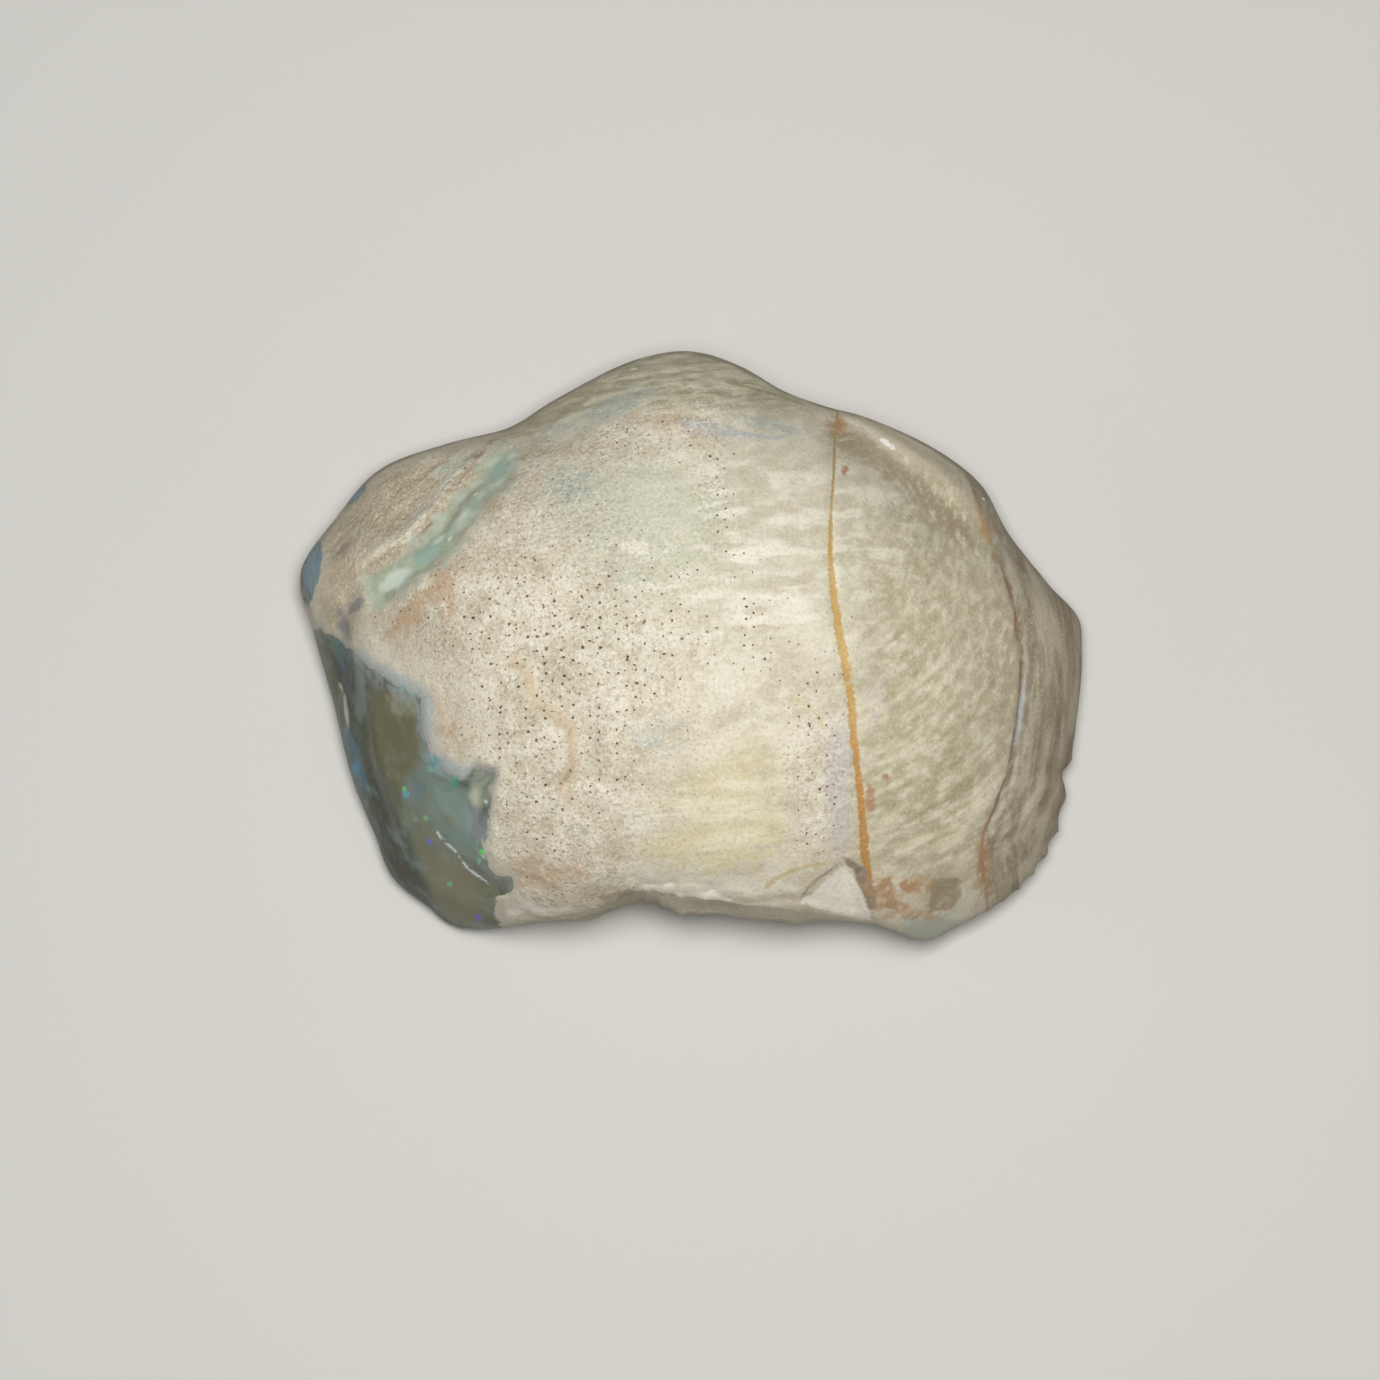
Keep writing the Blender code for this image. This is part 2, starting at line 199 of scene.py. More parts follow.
# low relief on the crust
relief = {
    # swells and hollows: height, x, y, half width, half length, slant
    "swells": ((0.9, -0.8, 13.2, 6.5, 3.6, 0.0), (-1.3, -8.6, 11.8, 3.6, 2.2, 0.3)),
    # beside the rim: height, how far outside it, half width
    "rim": ((0.55, 0.7, 0.7), (-0.6, -1.6, 1.4)),
    "flangeStep": 0.45,
    "flangeCrack": (0.15, 0.05, 0.14),
    # fine lines along the flange, the growth lines and the beak: height, width, seed
    "flangeLines": (0.1, 0.9, 8),
    "growthLines": (0.02, 1.1, 9),
    "beakLines": (0.05, 0.7, 10),
    "ledgeDepth": 0.42,
    "ledgeWander": ((0.2, 1.3, 43),),
    "ochreCrack": (0.14, 0.2),
    "deepestChip": 1.4,
    "brinkScars": (0.7, 1.1, 51),
    # unevenness all over: height, size, seed
    "unevenness": ((0.12, 7.0, 5), (0.035, 1.7, 6), (0.012, 0.7, 7)),
}
# growth lines are rounded squares about the beak
growth = {"centre": (-1.5, 18.5), "halfWidth": 24.0, "length": 33.0, "squareness": 2.8, "turn": 6.0}


# s is 0 below low, 1 above high, and 3s^2 - 2s^3 between them
def ease(value, low, high):
    s = np.clip((value - low) / (high - low), 0, 1)
    return s * s * (3 - 2 * s)


# bell curve: 1 at zero, 0.37 at width
def hump(value, width):
    return np.exp(-((value / width) ** 2))


# bell curve around the direction centre, both in degrees
def toward(theta, centre, width):
    return hump((np.degrees(theta) - centre + 180) % 360 - 180, width)


# the lower of two heights, its ridge rounded over by the given amount
def lowerOf(a, b, rounding):
    return 0.5 * (a + b - np.sqrt((a - b) ** 2 + rounding**2))


# Catmull-Rom curve through values at rising angles, closed after a full turn
def closedCurve(angles, values, at):
    turn = 2 * math.pi
    knots = np.concatenate([angles[-2:] - turn, angles, angles[:2] + turn])
    heights = np.concatenate([values[-2:], values, values[:2]])
    slopes = np.zeros_like(heights)
    slopes[1:-1] = (heights[2:] - heights[:-2]) / (knots[2:] - knots[:-2])
    i = np.searchsorted(knots[1:-1], at, side="right")
    span = knots[i + 1] - knots[i]
    s = (at - knots[i]) / span
    start = heights[i] * (1 + 2 * s) * (1 - s) ** 2 + slopes[i] * span * s * (1 - s) ** 2
    end = heights[i + 1] * s**2 * (3 - 2 * s) + slopes[i + 1] * span * s**2 * (s - 1)
    return start + end


# radius and height of the margin in the direction theta: curves through its points, less the nicks
def marginAt(theta):
    x, y, height = np.array(shell["margin"]).T
    angles = np.arctan2(y, x) % (2 * math.pi)
    radius = closedCurve(angles, np.hypot(x, y), theta)
    for depth, centre, width, count, sway, swayCount in shell["nicks"]:
        nicks = np.abs(np.sin(count * theta + sway * np.sin(swayCount * theta)))
        radius = radius - depth * toward(theta, centre, width) * nicks
    depth, centre, width = shell["notch"]
    return radius - depth * toward(theta, centre, width), closedCurve(angles, height, theta)


# the same, as a mean weighted by a bell curve of twenty degrees to either side
def broadMarginAt(theta):
    reach = 20
    total, weights = 0, 0
    for offset in range(-2 * reach, 2 * reach + 1, 4):
        weight = math.exp(-((offset / reach) ** 2))
        total = total + weight * np.array(marginAt((theta + math.radians(offset)) % (2 * math.pi)))
        weights += weight
    return total / weights


# distance from an open line, positive to its left, and how far along it the nearest point is, 0 to 1
def beside(x, y, line):
    best = np.full_like(x, np.inf)
    nearest = np.zeros_like(x)
    along = np.zeros_like(x)
    for i, ((ax, ay), (bx, by)) in enumerate(zip(line, line[1:])):
        dx, dy = bx - ax, by - ay
        length = math.hypot(dx, dy)
        s = np.clip(((x - ax) * dx + (y - ay) * dy) / length**2, 0, 1)
        distance = np.hypot(x - ax - s * dx, y - ay - s * dy)
        left = (dx * (y - ay) - dy * (x - ax)) / length
        rank = distance - 1e-6 * np.abs(left)  # at a corner, the piece more squarely faced tells the side
        closer = rank < best
        best = np.where(closer, rank, best)
        nearest = np.where(closer, np.where(left > 0, distance, -distance), nearest)
        along = np.where(closer, (i + s) / (len(line) - 1), along)
    return nearest, along


# distance inside a closed outline, negative outside it
def insideOf(x, y, corners):
    loop = corners + corners[:1]
    area = sum(ax * by - bx * ay for (ax, ay), (bx, by) in zip(loop, loop[1:]))
    aside, _ = beside(x, y, loop)
    return aside if area > 0 else -aside


# soft unevenness of about -1 to 1: the sum of cosine waves of about one size in seeded directions
def waves(points, size, seed, count=16):
    rng = np.random.default_rng(seed)
    total = np.zeros(points.shape[:-1])
    for _ in range(count):
        direction = rng.normal(size=3)
        direction *= 2 * math.pi / (size * rng.uniform(0.7, 1.5) * np.linalg.norm(direction))
        total += np.cos(points @ direction + rng.uniform(0, 2 * math.pi))
    return total / math.sqrt(2 * count)


# shell-like fracture: squared distance to the nearest of one seeded centre per cell,
# so that hollows meet in ridges
def hollows(points, size, seed):
    cell = np.floor(points / size)
    nearest = np.full(points.shape[:-1], np.inf)
    mixing = np.array([[127.1, 311.7, 74.7], [269.5, 183.3, 246.1], [113.5, 271.9, 124.6]])
    for offset in np.ndindex(3, 3, 3):
        corner = cell + np.array(offset) - 1
        jitter = np.sin(corner @ mixing + seed) * 43758.5453
        centre = (corner + jitter - np.floor(jitter)) * size
        nearest = np.minimum(nearest, ((points - centre) ** 2).sum(-1))
    return np.minimum(nearest / size**2, 1.0)


# sum of waves, each given by its height, size and seed
def uneven(points, layers):
    return sum(rise * waves(points, size, seed) for rise, size, seed in layers)


# a flake's dish: depth times the root of the distance inside its corners, over the width of its slope
def dished(x, y, flake, slopeWidth):
    _, _, depth, corners = flake
    return depth * np.sqrt(np.clip(insideOf(x, y, corners) / slopeWidth, 0, 1))


# height of a tilted facet: its point's height, less the way gone downhill times the tangent of its dip
def sloping(x, y, facet):
    (fx, fy, fz), falls, dip = facet
    falls = math.radians(falls)
    down = (x - fx) * math.cos(falls) + (y - fy) * math.sin(falls)
    return fz - down * math.tan(math.radians(dip))


# growth lines are superellipses about the beak: how far out in millimetres, and how far round
def growthAt(x, y):
    turn = math.radians(growth["turn"])
    dx, dy = x - growth["centre"][0], growth["centre"][1] - y
    side = dx * math.cos(turn) - dy * math.sin(turn)
    down = dx * math.sin(turn) + dy * math.cos(turn)
    power = growth["squareness"]
    widths = np.abs(side / growth["halfWidth"]) ** power
    lengths = np.abs(down / growth["length"]) ** power
    return growth["length"] * (widths + lengths) ** (1 / power), growth["length"] * np.arctan2(side, down)


# vault: edge + (crown - edge) (1 - share^fullness)^roundness
def vault(x, y, theta, share):
    radius, edge = marginAt(theta)
    broadRadius, broadEdge = broadMarginAt(theta)
    share = share * (radius / broadRadius) ** (1 - share**3)
    edge = broadEdge + (edge - broadEdge) * share**3
    front = toward(theta, *shell["front"])
    left = toward(theta, *shell["left"])
    fullness, roundness = (plain + atLeft * left + atFront * front
                           for plain, atLeft, atFront in (shell["fullness"], shell["roundness"]))
    middleX, middleY, fall = shell["crown"]
    crown = shell["summit"] - fall * (x - middleX) ** 2 - fall * (y - middleY) ** 2
    return edge + (crown - edge) * (1 - np.minimum(share, 1) ** fullness) ** roundness


# how far each point lies on the opal side of the crust's edge, which wanders by some tenths of a millimetre
def bareAt(x, y, points):
    aside, _ = beside(x, y, opalEnd["crustEdge"])
    return uneven(points, opalEnd["wander"]) - aside


# upper face: the vault, then beak, rim, flange, flap, groove, chips, broken opal end and fine unevenness
def upperFace(x, y, theta, share):
    _, edge = marginAt(theta)
    height = vault(x, y, theta, share)
    points = np.stack([x, y, height], axis=-1)
    inner = 1 - share**6
    for rise, cx, cy, wide, long, slant in relief["swells"]:
        height = height + rise * hump(x - cx, wide) * hump(y - cy - slant * (x - cx), long) * inner

    outward, along = beside(x, y, runs["rim"])
    ends = ease(along, 0.0, 0.25) * ease(along, 1.0, 0.75)
    for rise, beyond, width in relief["rim"]:
        height += ends * rise * hump(outward - beyond, width)

    outward, along = beside(x, y, runs["flangeCrack"])
    present = ease(along, 0.02, 0.2)
    depth, beyond, width = relief["flangeCrack"]
    step = relief["flangeStep"] * ease(outward, -0.05, 0.25)
    height -= present * (step + depth * hump(outward - beyond, width))
    rise, size, seed = relief["flangeLines"]
    ridges = waves(np.stack([outward, 0.06 * x, 0.06 * y], axis=-1), size, seed)
    offEdge = 1 - share**20
    height += rise * ridges * ease(outward, 0.2, 0.9) * offEdge
    across, _ = growthAt(x, y)
    rise, size, seed = relief["growthLines"]
    height += rise * waves(np.stack([across, 0.05 * x, 0.05 * y], axis=-1), size, seed) * ease(x, -4.0, 0.0)
    rise, size, seed = relief["beakLines"]
    striae = waves(np.stack([y, 0.15 * x, 0 * x], axis=-1), size, seed)
    height += rise * striae * ease(y, 11.5, 13.0) * offEdge

    aside, along = beside(x, y, runs["ledge"])
    aside = aside + uneven(points, relief["ledgeWander"])
    ends = ease(along, 0.0, 0.12) * ease(along, 1.0, 0.8)
    height -= relief["ledgeDepth"] * ease(aside, -0.08, 0.14) * ease(aside, 2.6, 0.6) * ends

    outward, along = beside(x, y, flap["groove"])
    outward = outward + uneven(points, flap["wander"])
    rise, beyond, width = flap["ridge"]
    tilted = sloping(x, y, flap["slope"]) + rise * hump(outward + beyond, width)
    beyond = height + (lowerOf(height, tilted, 0.5) - height) * ease(-outward, 0.0, 0.8)
    height = np.where(outward < 0, beyond, height)
    ends = ease(along, 0.0, 0.2) * ease(along, 1.0, 0.85)
    height -= flap["depth"] * ends * hump(outward - 0.1, flap["width"] / 2)
    height -= flap["scarp"] * ends * ease(outward, -1.95, -1.6) * ease(outward, 1.0, 0.3)

    aside, along = beside(x, y, flap["valley"])
    depth, width = flap["valleyDepth"]
    height -= depth * hump(aside, width) * ease(along, 0.0, 0.25)

    for (cx, cy), first, second, firstSlope, secondSlope in chips:
        first, second = math.radians(first), math.radians(second)
        insideFirst = math.cos(first) * (y - cy) - math.sin(first) * (x - cx)
        insideSecond = math.sin(second) * (x - cx) - math.cos(second) * (y - cy)
        fall = np.minimum(firstSlope * insideFirst, secondSlope * insideSecond)
        height -= np.clip(fall, 0, relief["deepestChip"])

    for flake in frontFlakes:
        height = height - dished(x, y, flake, 0.7)

    depth, size, seed = relief["brinkScars"]
    brink = toward(theta, 268, 30) * ease(share, 0.93, 0.97)
    height = height - depth * brink * (hollows(points * np.array([0.7, 1.0, 0.6]), size, seed) - 0.2)

    aside, along = beside(x, y, runs["ochreCrack"])
    depth, width = relief["ochreCrack"]
    height -= depth * hump(aside, width) * ease(along, 0.0, 0.1)

    bare = bareAt(x, y, points)
    broken = height - opalEnd["crust"]
    for facet in opalEnd["facets"]:
        broken = lowerOf(broken, sloping(x, y, facet), 0.08)
    for depth, size, seed in opalEnd["hollows"]:
        broken = broken - depth * hollows(points, size, seed)
    broken = broken + 0.1
    for flake in opalEnd["flakes"]:
        broken = broken - dished(x, y, flake, 1.2)
    height = height + uneven(points, relief["unevenness"])
    height = height + (broken - height) * ease(bare, -0.3, 0.9)
    floor = 0.5 * edge
    return 0.5 * (height + floor + np.sqrt((height - floor) ** 2 + 0.06)), bare


# the wall below the margin; directions and half widths in degrees
sides = {
    "front": (270, 32),
    "left": (205, 40),
    "inset": (5.0, 2.6, 2.4),  # how far the wall curls in, and how much less in the front and at the left
    "swell": 0.6,
    "flaking": (1.1, 0.5),  # in the front and elsewhere
    # layered scars: depth, size, seed
    "scars": ((1.0, 4.5, 23), (0.3, 1.8, 24)),
    "layers": (0.12, 1.0, 25),
}


# side wall curls in under the margin; the underside is flat where it rests
def shellSurface():
    steps = np.arange(shell["stepsAround"]) / shell["stepsAround"] * 2 * math.pi
    theta = steps + shell["crowding"] * np.sin(steps)
    radius, edge = marginAt(theta % (2 * math.pi))
    theta = theta % (2 * math.pi)

    t = np.arange(1, shell["topRings"] + 1)[:, None] / shell["topRings"]
    share = np.sin(0.5 * math.pi * t) ** 0.9 + 0 * theta
    around = theta + 0 * share
    x = radius * share * np.cos(theta)
    y = radius * share * np.sin(theta)
    z, bare = upperFace(x, y, around, share)
    top = np.stack([x, y, z], axis=-1)
    edge = z[-1]

    down = np.arange(1, shell["sideRings"] + 1)[:, None] / shell["sideRings"]
    front = toward(theta, *sides["front"])
    inset, lessInFront, lessAtLeft = sides["inset"]
    inset = inset - lessInFront * front - lessAtLeft * toward(theta, *sides["left"])
    curl = 1 - np.cos(0.5 * math.pi * down)
    across, up = radius * np.cos(theta), radius * np.sin(theta)
    wall = np.stack([across + 0 * down, up + 0 * down, edge * (1 - down)], axis=-1)
    scars = sum(depth * hollows(wall, size, seed) for depth, size, seed in sides["scars"])
    flaking = (scars - 0.4) * np.sin(math.pi * down) ** 0.7
    depth, size, seed = sides["layers"]
    flaking += depth * waves(wall * np.array([0.2, 0.2, 1.0]), size, seed) * np.sin(math.pi * down)
    swell = sides["swell"] * np.sin(math.pi * np.clip(1.4 * down, 0, 1))
    inFront, elsewhere = sides["flaking"]
    reach = radius - inset * curl + front * (swell + inFront * flaking) + elsewhere * flaking * (1 - front)
    fall = edge * (1 - np.sin(0.5 * math.pi * down))
    side = np.stack([reach * np.cos(theta), reach * np.sin(theta), fall], axis=-1)

    under = np.arange(1, shell["baseRings"])[:, None] / shell["baseRings"]
    left = reach[-1] * (1 - under)
    base = np.stack([left * np.cos(theta), left * np.sin(theta), 0 * left], axis=-1)
    rings = np.concatenate([top, side, base])
    place = np.concatenate([0 * share, down + 0 * theta, 1 + under + 0 * theta])
    _, sideBare = upperFace(side[..., 0], side[..., 1], theta + 0 * down, 1 + 0 * down * theta)
    bare = np.concatenate([bare, sideBare, np.repeat(sideBare[-1:], len(under), axis=0)])
    return rings, place, bare


# where each finish lies: x, y, half width and half height, then turn in degrees and strength if not 0 and 1
finishes = {
    # where the crust is rough
    "porous": (
        (-7.0, -3.0, 6.5, 9.0), (-12.0, 2.0, 5.0, 4.0), (-3.0, 10.5, 5.0, 1.8, 15, 0.9),
        (-8.5, 7.0, 3.0, 4.0, 30, 1), (-16.5, 7.0, 5.0, 4.0, 30, 0.9), (7.0, -8.5, 1.8, 4.0, 0, 0.8),
        (1.0, 8.0, 0.8, 4.5, 5, 0.7), (-8.0, -12.0, 4.0, 4.0),
    ),
    # where growth lines show, as dashes, lines or stripes
    "dashed": (
        (4.0, 5.5, 4.5, 4.5), (0.5, 2.5, 3.5, 2.0, 0, 0.8), (4.0, 0.8, 4.0, 1.6),
        (10.5, 6.0, 2.5, 2.5, 0, 0.8), (10.5, 0.0, 2.0, 4.0, 0, 0.5),
    ),
    "striped": (
        (12.2, -11.0, 3.4, 2.8), (15.3, -8.5, 1.6, 4.0, 10, 0.8), (19.3, -10.5, 1.4, 3.0, -15, 0.6),
        (12.5, -4.5, 4.0, 3.0, 0, 0.5),
    ),
    # painted highlights: small white glints on the rim, in the groove, on the beak and on the opal
    "glint": (
        (11.1, 10.8, 0.6, 0.22, -35, 1), (-12.0, 7.6, 0.2, 0.14, 40, 1), (-13.5, 4.9, 0.45, 0.08, 48, 1),
        (-3.2, 15.2, 0.3, 0.3, 60, 0.8), (16.7, 8.1, 0.12, 0.12), (-11.3, -9.6, 0.2, 0.2, 0, 0.9),
    ),
    # darker patches: partly darker crust, partly painted shade on steep slopes, in the rim's valley and where
    # the flange falls away
    "duskyAndShade": (
        (-15.6, 0.0, 2.0, 1.6, -30, 0.6), (-13.2, -2.0, 1.6, 2.6, 20, 0.35), (-12.8, -6.0, 1.5, 1.5, 0, 0.4),
        (-5.5, -14.6, 3.0, 0.7, 0, 0.6), (-8.9, 12.5, 4.5, 0.9, 22, 1), (14.4, 8.6, 1.6, 0.7, -35, 0.7),
        (17.6, -1.5, 0.8, 5.0, 0, 0.7),
    ),
    "bluish": (
        (-4.0, 12.6, 2.4, 0.8, 25, 0.8), (0.8, 11.0, 2.0, 0.4, -12, 0.8), (4.5, 11.4, 2.0, 0.5, -10, 0.7),
        (-6.5, 7.6, 1.4, 1.0, 0, 0.6), (-3.9, 2.2, 0.7, 1.8, 0, 0.4), (-1.4, -6.4, 1.8, 1.0, 0, 0.45),
        (-8.0, 11.2, 1.6, 0.6, 30, 0.5),
    ),
    "lined": (
        (2.5, -9.0, 7.0, 5.5), (4.5, 6.0, 4.5, 5.0, 0, 0.6), (13.5, -8.5, 5.0, 6.5, 0, 0.9),
        (12.0, 0.0, 4.0, 6.0, 0, 0.4), (1.0, 13.0, 5.0, 1.6, 0, 0.8),
    ),
    "pits": (
        (-5.5, -1.2, 6.0, 4.6), (-7.1, -7.7, 3.8, 6.6, 0, 0.8), (-10.4, 0.0, 3.3, 3.3, 0, 0.6),
        (7.0, -7.9, 1.2, 4.1), (-1.7, 10.2, 3.8, 1.4, -10, 0.7), (-8.3, 6.8, 3.3, 3.3, 0, 0.35),
        (-14.9, 0.9, 2.8, 1.9, 0, 0.6), (4.6, -2.0, 3.3, 2.2, 0, 0.35), (-10.1, -4.3, 2.2, 2.7, 0, 0.7),
    ),
    "green": (
        (-2.2, 5.8, 4.6, 3.8, 0, 0.9), (-6.5, 7.4, 1.6, 1.2, 0, 0.9), (-3.5, -0.4, 3.3, 3.3, 0, 0.35),
        (-4.5, 12.7, 3.3, 1.0, 20, 0.8), (6.1, 9.9, 2.8, 2.2, 0, 0.4), (3.0, 7.9, 1.4, 3.3, 0, 0.3),
        (9.9, 3.5, 2.8, 3.3, 0, 0.45), (4.9, 3.3, 2.2, 1.1, 0, 0.4),
    ),
    "chalk": (
        (1.6, 1.0, 1.9, 0.7), (5.8, 0.8, 1.9, 0.7), (-3.0, 3.9, 0.9, 0.4), (0.6, 3.9, 0.8, 0.2, 0, 0.8),
        (2.5, 5.5, 0.5, 2.7, 0, 0.5), (3.8, 2.4, 2.2, 0.3, 4, 0.8), (6.0, 4.5, 1.6, 0.4, 5, 0.5),
        (0.6, -1.2, 4.9, 1.6, 0, 0.5), (3.0, -4.5, 3.3, 2.7, 0, 0.45), (10.0, 7.4, 1.7, 0.7, -10, 0.7),
        (2.5, 2.4, 1.1, 0.3, 0, 0.6), (-1.9, -13.5, 3.3, 0.7, 6, 0.5), (1.5, -14.3, 5.0, 0.6, -2, 0.8),
    ),
    "honey": (
        (1.2, -12.5, 3.6, 1.5, 4, 1), (2.5, -8.2, 3.0, 1.6, 4, 0.6), (0.6, -9.8, 3.0, 1.1, 4, 0.5),
        (3.8, -11.4, 1.9, 1.4, 4, 0.6),
    ),
    "tan": (
        (13.8, -0.8, 4.4, 8.3, 0, 0.9), (13.3, -10.1, 4.2, 3.9), (11.7, 6.0, 3.3, 2.8, 0, 0.5),
        (15.2, 6.5, 2.2, 2.2, 0, 0.8), (17.3, -3.8, 1.4, 7.3, 0, 0.9),
    ),
    "lavender": (
        (8.1, -9.2, 0.6, 3.3, 3, 1), (8.7, -6.5, 0.5, 1.6, 0, 0.6), (10.2, -4.3, 0.6, 1.9, 0, 0.5),
        (3.9, -13.0, 2.2, 0.7, 25, 0.4), (0.8, 10.8, 1.7, 0.6, -10, 0.5), (3.0, 10.6, 1.9, 0.4, 0, 0.6),
    ),
    "olive": (
        (0.3, 14.0, 5.5, 1.9), (-5.1, 13.7, 2.8, 0.9, 35, 0.9), (4.0, 14.2, 2.2, 0.8, -30, 0.9),
        (-9.6, 11.9, 2.8, 0.8, 25, 0.6), (8.4, 10.8, 1.7, 1.1, -30, 0.7),
    ),
    "flap": (
        (-16.3, 7.1, 3.4, 2.5, 25, 1), (-18.8, 4.3, 1.9, 1.7, 30, 1), (-14.1, 8.7, 2.2, 1.1, 30, 1),
        (-19.7, 1.6, 0.8, 2.8, -10, 0.8),
    ),
    "flapPale": (
        (-13.0, 9.9, 0.7, 0.6, 40, 1), (-13.9, 9.0, 0.6, 0.7, 40, 0.9), (-14.9, 7.0, 1.5, 0.3, 55, 0.6),
        (-16.5, 5.2, 1.5, 0.3, 30, 0.7), (-18.6, 5.6, 1.2, 0.6, 35, 0.5),
    ),
    # purple-grey streaks along the flap's crease, partly painted shade of its drop into the groove
    "purpleShade": (
        (-12.0, 10.4, 0.7, 0.2, 40, 1), (-13.3, 8.1, 1.7, 0.2, 55, 0.7), (-14.8, 5.7, 1.1, 0.2, 45, 0.8),
        (-12.7, 13.2, 3.4, 0.5, 15, 0.4),
    ),
    "rust": (
        (-14.2, 1.8, 1.3, 0.5, 30, 1), (-13.5, 1.2, 0.6, 1.0, 15, 1), (-15.4, 0.7, 0.6, 1.0, -30, 1),
        (-16.3, 0.2, 0.9, 0.7, 0, 0.7), (-13.1, 2.9, 0.8, 0.5, 40, 0.8), (-8.8, -11.7, 1.9, 1.7, 0, 0.35),
        (-8.0, -13.6, 2.2, 0.7, 0, 0.8), (10.8, -14.5, 1.2, 0.8, -30, 1), (12.8, -14.0, 1.0, 0.5),
        (16.4, -12.9, 0.5, 1.5), (12.2, -15.6, 1.7, 0.3, 0, 0.9), (-1.4, 11.5, 1.5, 0.8, 0, 0.5),
        (0.6, 10.2, 1.2, 0.7, 0, 0.35), (8.3, 11.9, 0.6, 0.7, 0, 0.8), (-10.8, 7.0, 0.8, 0.6, 0, 0.45),
        (-12.2, 4.4, 0.9, 0.6, 50, 0.5), (-13.8, -4.7, 0.9, 2.8, 0, 0.3), (-12.7, -6.1, 1.4, 0.7, 0, 0.4),
        (9.9, -9.7, 0.4, 0.8, 0, 0.8), (10.0, -9.1, 0.2, 0.2), (10.8, -8.4, 0.2, 0.2), (8.6, 8.8, 0.2, 0.3),
        (17.0, 6.8, 0.3, 1.1, 20, 0.8),
    ),
    "rustDots": (
        (10.9, -14.1, 0.5, 0.6, 0, 0.7), (11.4, -15.1, 0.7, 0.4, 0, 0.7), (12.4, -14.1, 0.9, 0.3, 0, 0.8),
        (16.5, -12.9, 0.3, 0.9, 0, 0.9), (16.9, -14.0, 0.3, 0.5, 0, 0.8), (9.95, -9.6, 0.25, 0.6, 0, 0.9),
        (-14.6, 2.7, 1.0, 0.3, 25, 0.6), (-12.3, 6.0, 0.25, 0.25), (17.2, 4.3, 0.25, 1.0, 8, 0.5),
        (8.3, 11.9, 0.3, 0.5, 0, 0.6), (10.0, -9.1, 0.2, 0.2), (10.8, -8.4, 0.2, 0.2, 0, 0.9),
        (8.6, 8.8, 0.2, 0.3, 0, 0.9),
    ),
    "opalBrown": (
        (-16.7, -6.2, 1.2, 2.8, 15, 1), (-17.1, -3.7, 1.1, 0.9, 0, 0.8), (-17.6, -8.9, 0.7, 3.4, 14, 0.8),
    ),
    "opalGrey": (
        (-14.1, -9.4, 2.1, 1.9), (-13.2, -12.0, 1.1, 1.1, 0, 0.7), (-13.9, -7.7, 1.3, 0.7, 0, 0.8),
    ),
    # dark opal along the outer side of the ridge, partly its own deep colour and partly painted shade of the
    # steep outer facets
    "opalDeepAndShade": (
        (-16.4, -12.2, 0.9, 3.4, 22, 1), (-18.1, -8.8, 0.7, 4.0, 16, 0.9), (-19.6, -1.1, 0.7, 2.3, 20, 0.5),
    ),
    "opalBlue": (
        (-19.0, -6.8, 0.4, 1.7, 16, 1), (-19.8, -5.3, 0.5, 0.7, 0, 0.9), (-14.1, -7.3, 1.0, 0.3, -10, 0.8),
        (-15.2, -8.7, 0.5, 0.8, 0, 0.4), (-14.5, -3.5, 0.7, 1.7, 25, 0.6), (-19.0, 8.5, 0.5, 0.3, 35, 1),
        (-18.8, 1.6, 0.5, 0.4, 0, 0.5), (-19.9, -0.5, 0.5, 1.4, 10, 0.7),
    ),
    "skyBlue": (
        (-21.4, 4.4, 0.7, 1.7, -8, 1), (-19.1, 8.6, 0.8, 0.4, 35, 0.8), (-19.2, 0.6, 0.6, 1.2, 20, 0.25),
    ),
    "opalPale": (
        (-11.5, -8.8, 0.7, 1.1, -15, 1), (-15.9, -3.7, 1.0, 1.1, 30, 0.7), (-9.9, -15.6, 1.1, 0.3, 10, 0.8),
        (-9.1, -15.1, 0.7, 0.3, 0, 0.6), (-17.5, 1.8, 0.8, 0.5, 20, 1), (-14.4, -5.9, 0.4, 1.1, 0, 0.5),
    ),
    "opalWarm": (
        (-13.6, -13.8, 1.9, 1.4, -20, 1), (-14.9, -11.4, 0.8, 1.5, 20, 0.6), (-16.5, -3.6, 0.5, 0.4, 0, 0.9),
        (-12.5, -15.4, 1.7, 0.5, 0, 0.6),
    ),
    # opal seen through gaps in the crust
    "window": (
        (-21.7, 4.3, 0.8, 1.9, -8, 1), (-19.1, 8.6, 0.75, 0.35, 35, 1),
    ),
    # lavender-grey opal in the notch at the left end, darker partly as painted shade
    "valley": (
        (-18.8, 1.7, 0.6, 0.35, 20, 0.9), (-19.5, 0.3, 0.4, 1.3, 15, 1), (-19.9, -1.6, 0.4, 1.0, 10, 0.8),
    ),
    "teal": (
        (-10.7, 9.1, 0.4, 1.0, -20, 1), (-14.6, 4.2, 1.0, 0.5, 40, 1), (-9.3, 10.6, 0.9, 0.3, 30, 0.8),
        (-12.2, 7.0, 0.4, 0.6, -30, 0.7), (-13.4, 5.4, 0.4, 0.8, -45, 0.5),
    ),
    "milky": (
        (-12.7, 6.3, 0.25, 0.6, -45, 0.8), (-14.0, 5.0, 0.2, 0.5, -50, 0.9), (-16.4, 2.9, 1.0, 0.45, 30, 1),
        (-11.6, 7.6, 0.3, 0.4, -30, 0.6), (-10.0, 10.0, 0.4, 0.3, 40, 0.6),
    ),
    "blueEdge": (
        (-14.5, -4.8, 0.9, 2.2, 20, 1), (-16.4, -2.4, 1.7, 1.0, -35, 1), (-18.0, -1.3, 0.9, 0.8, -35, 0.6),
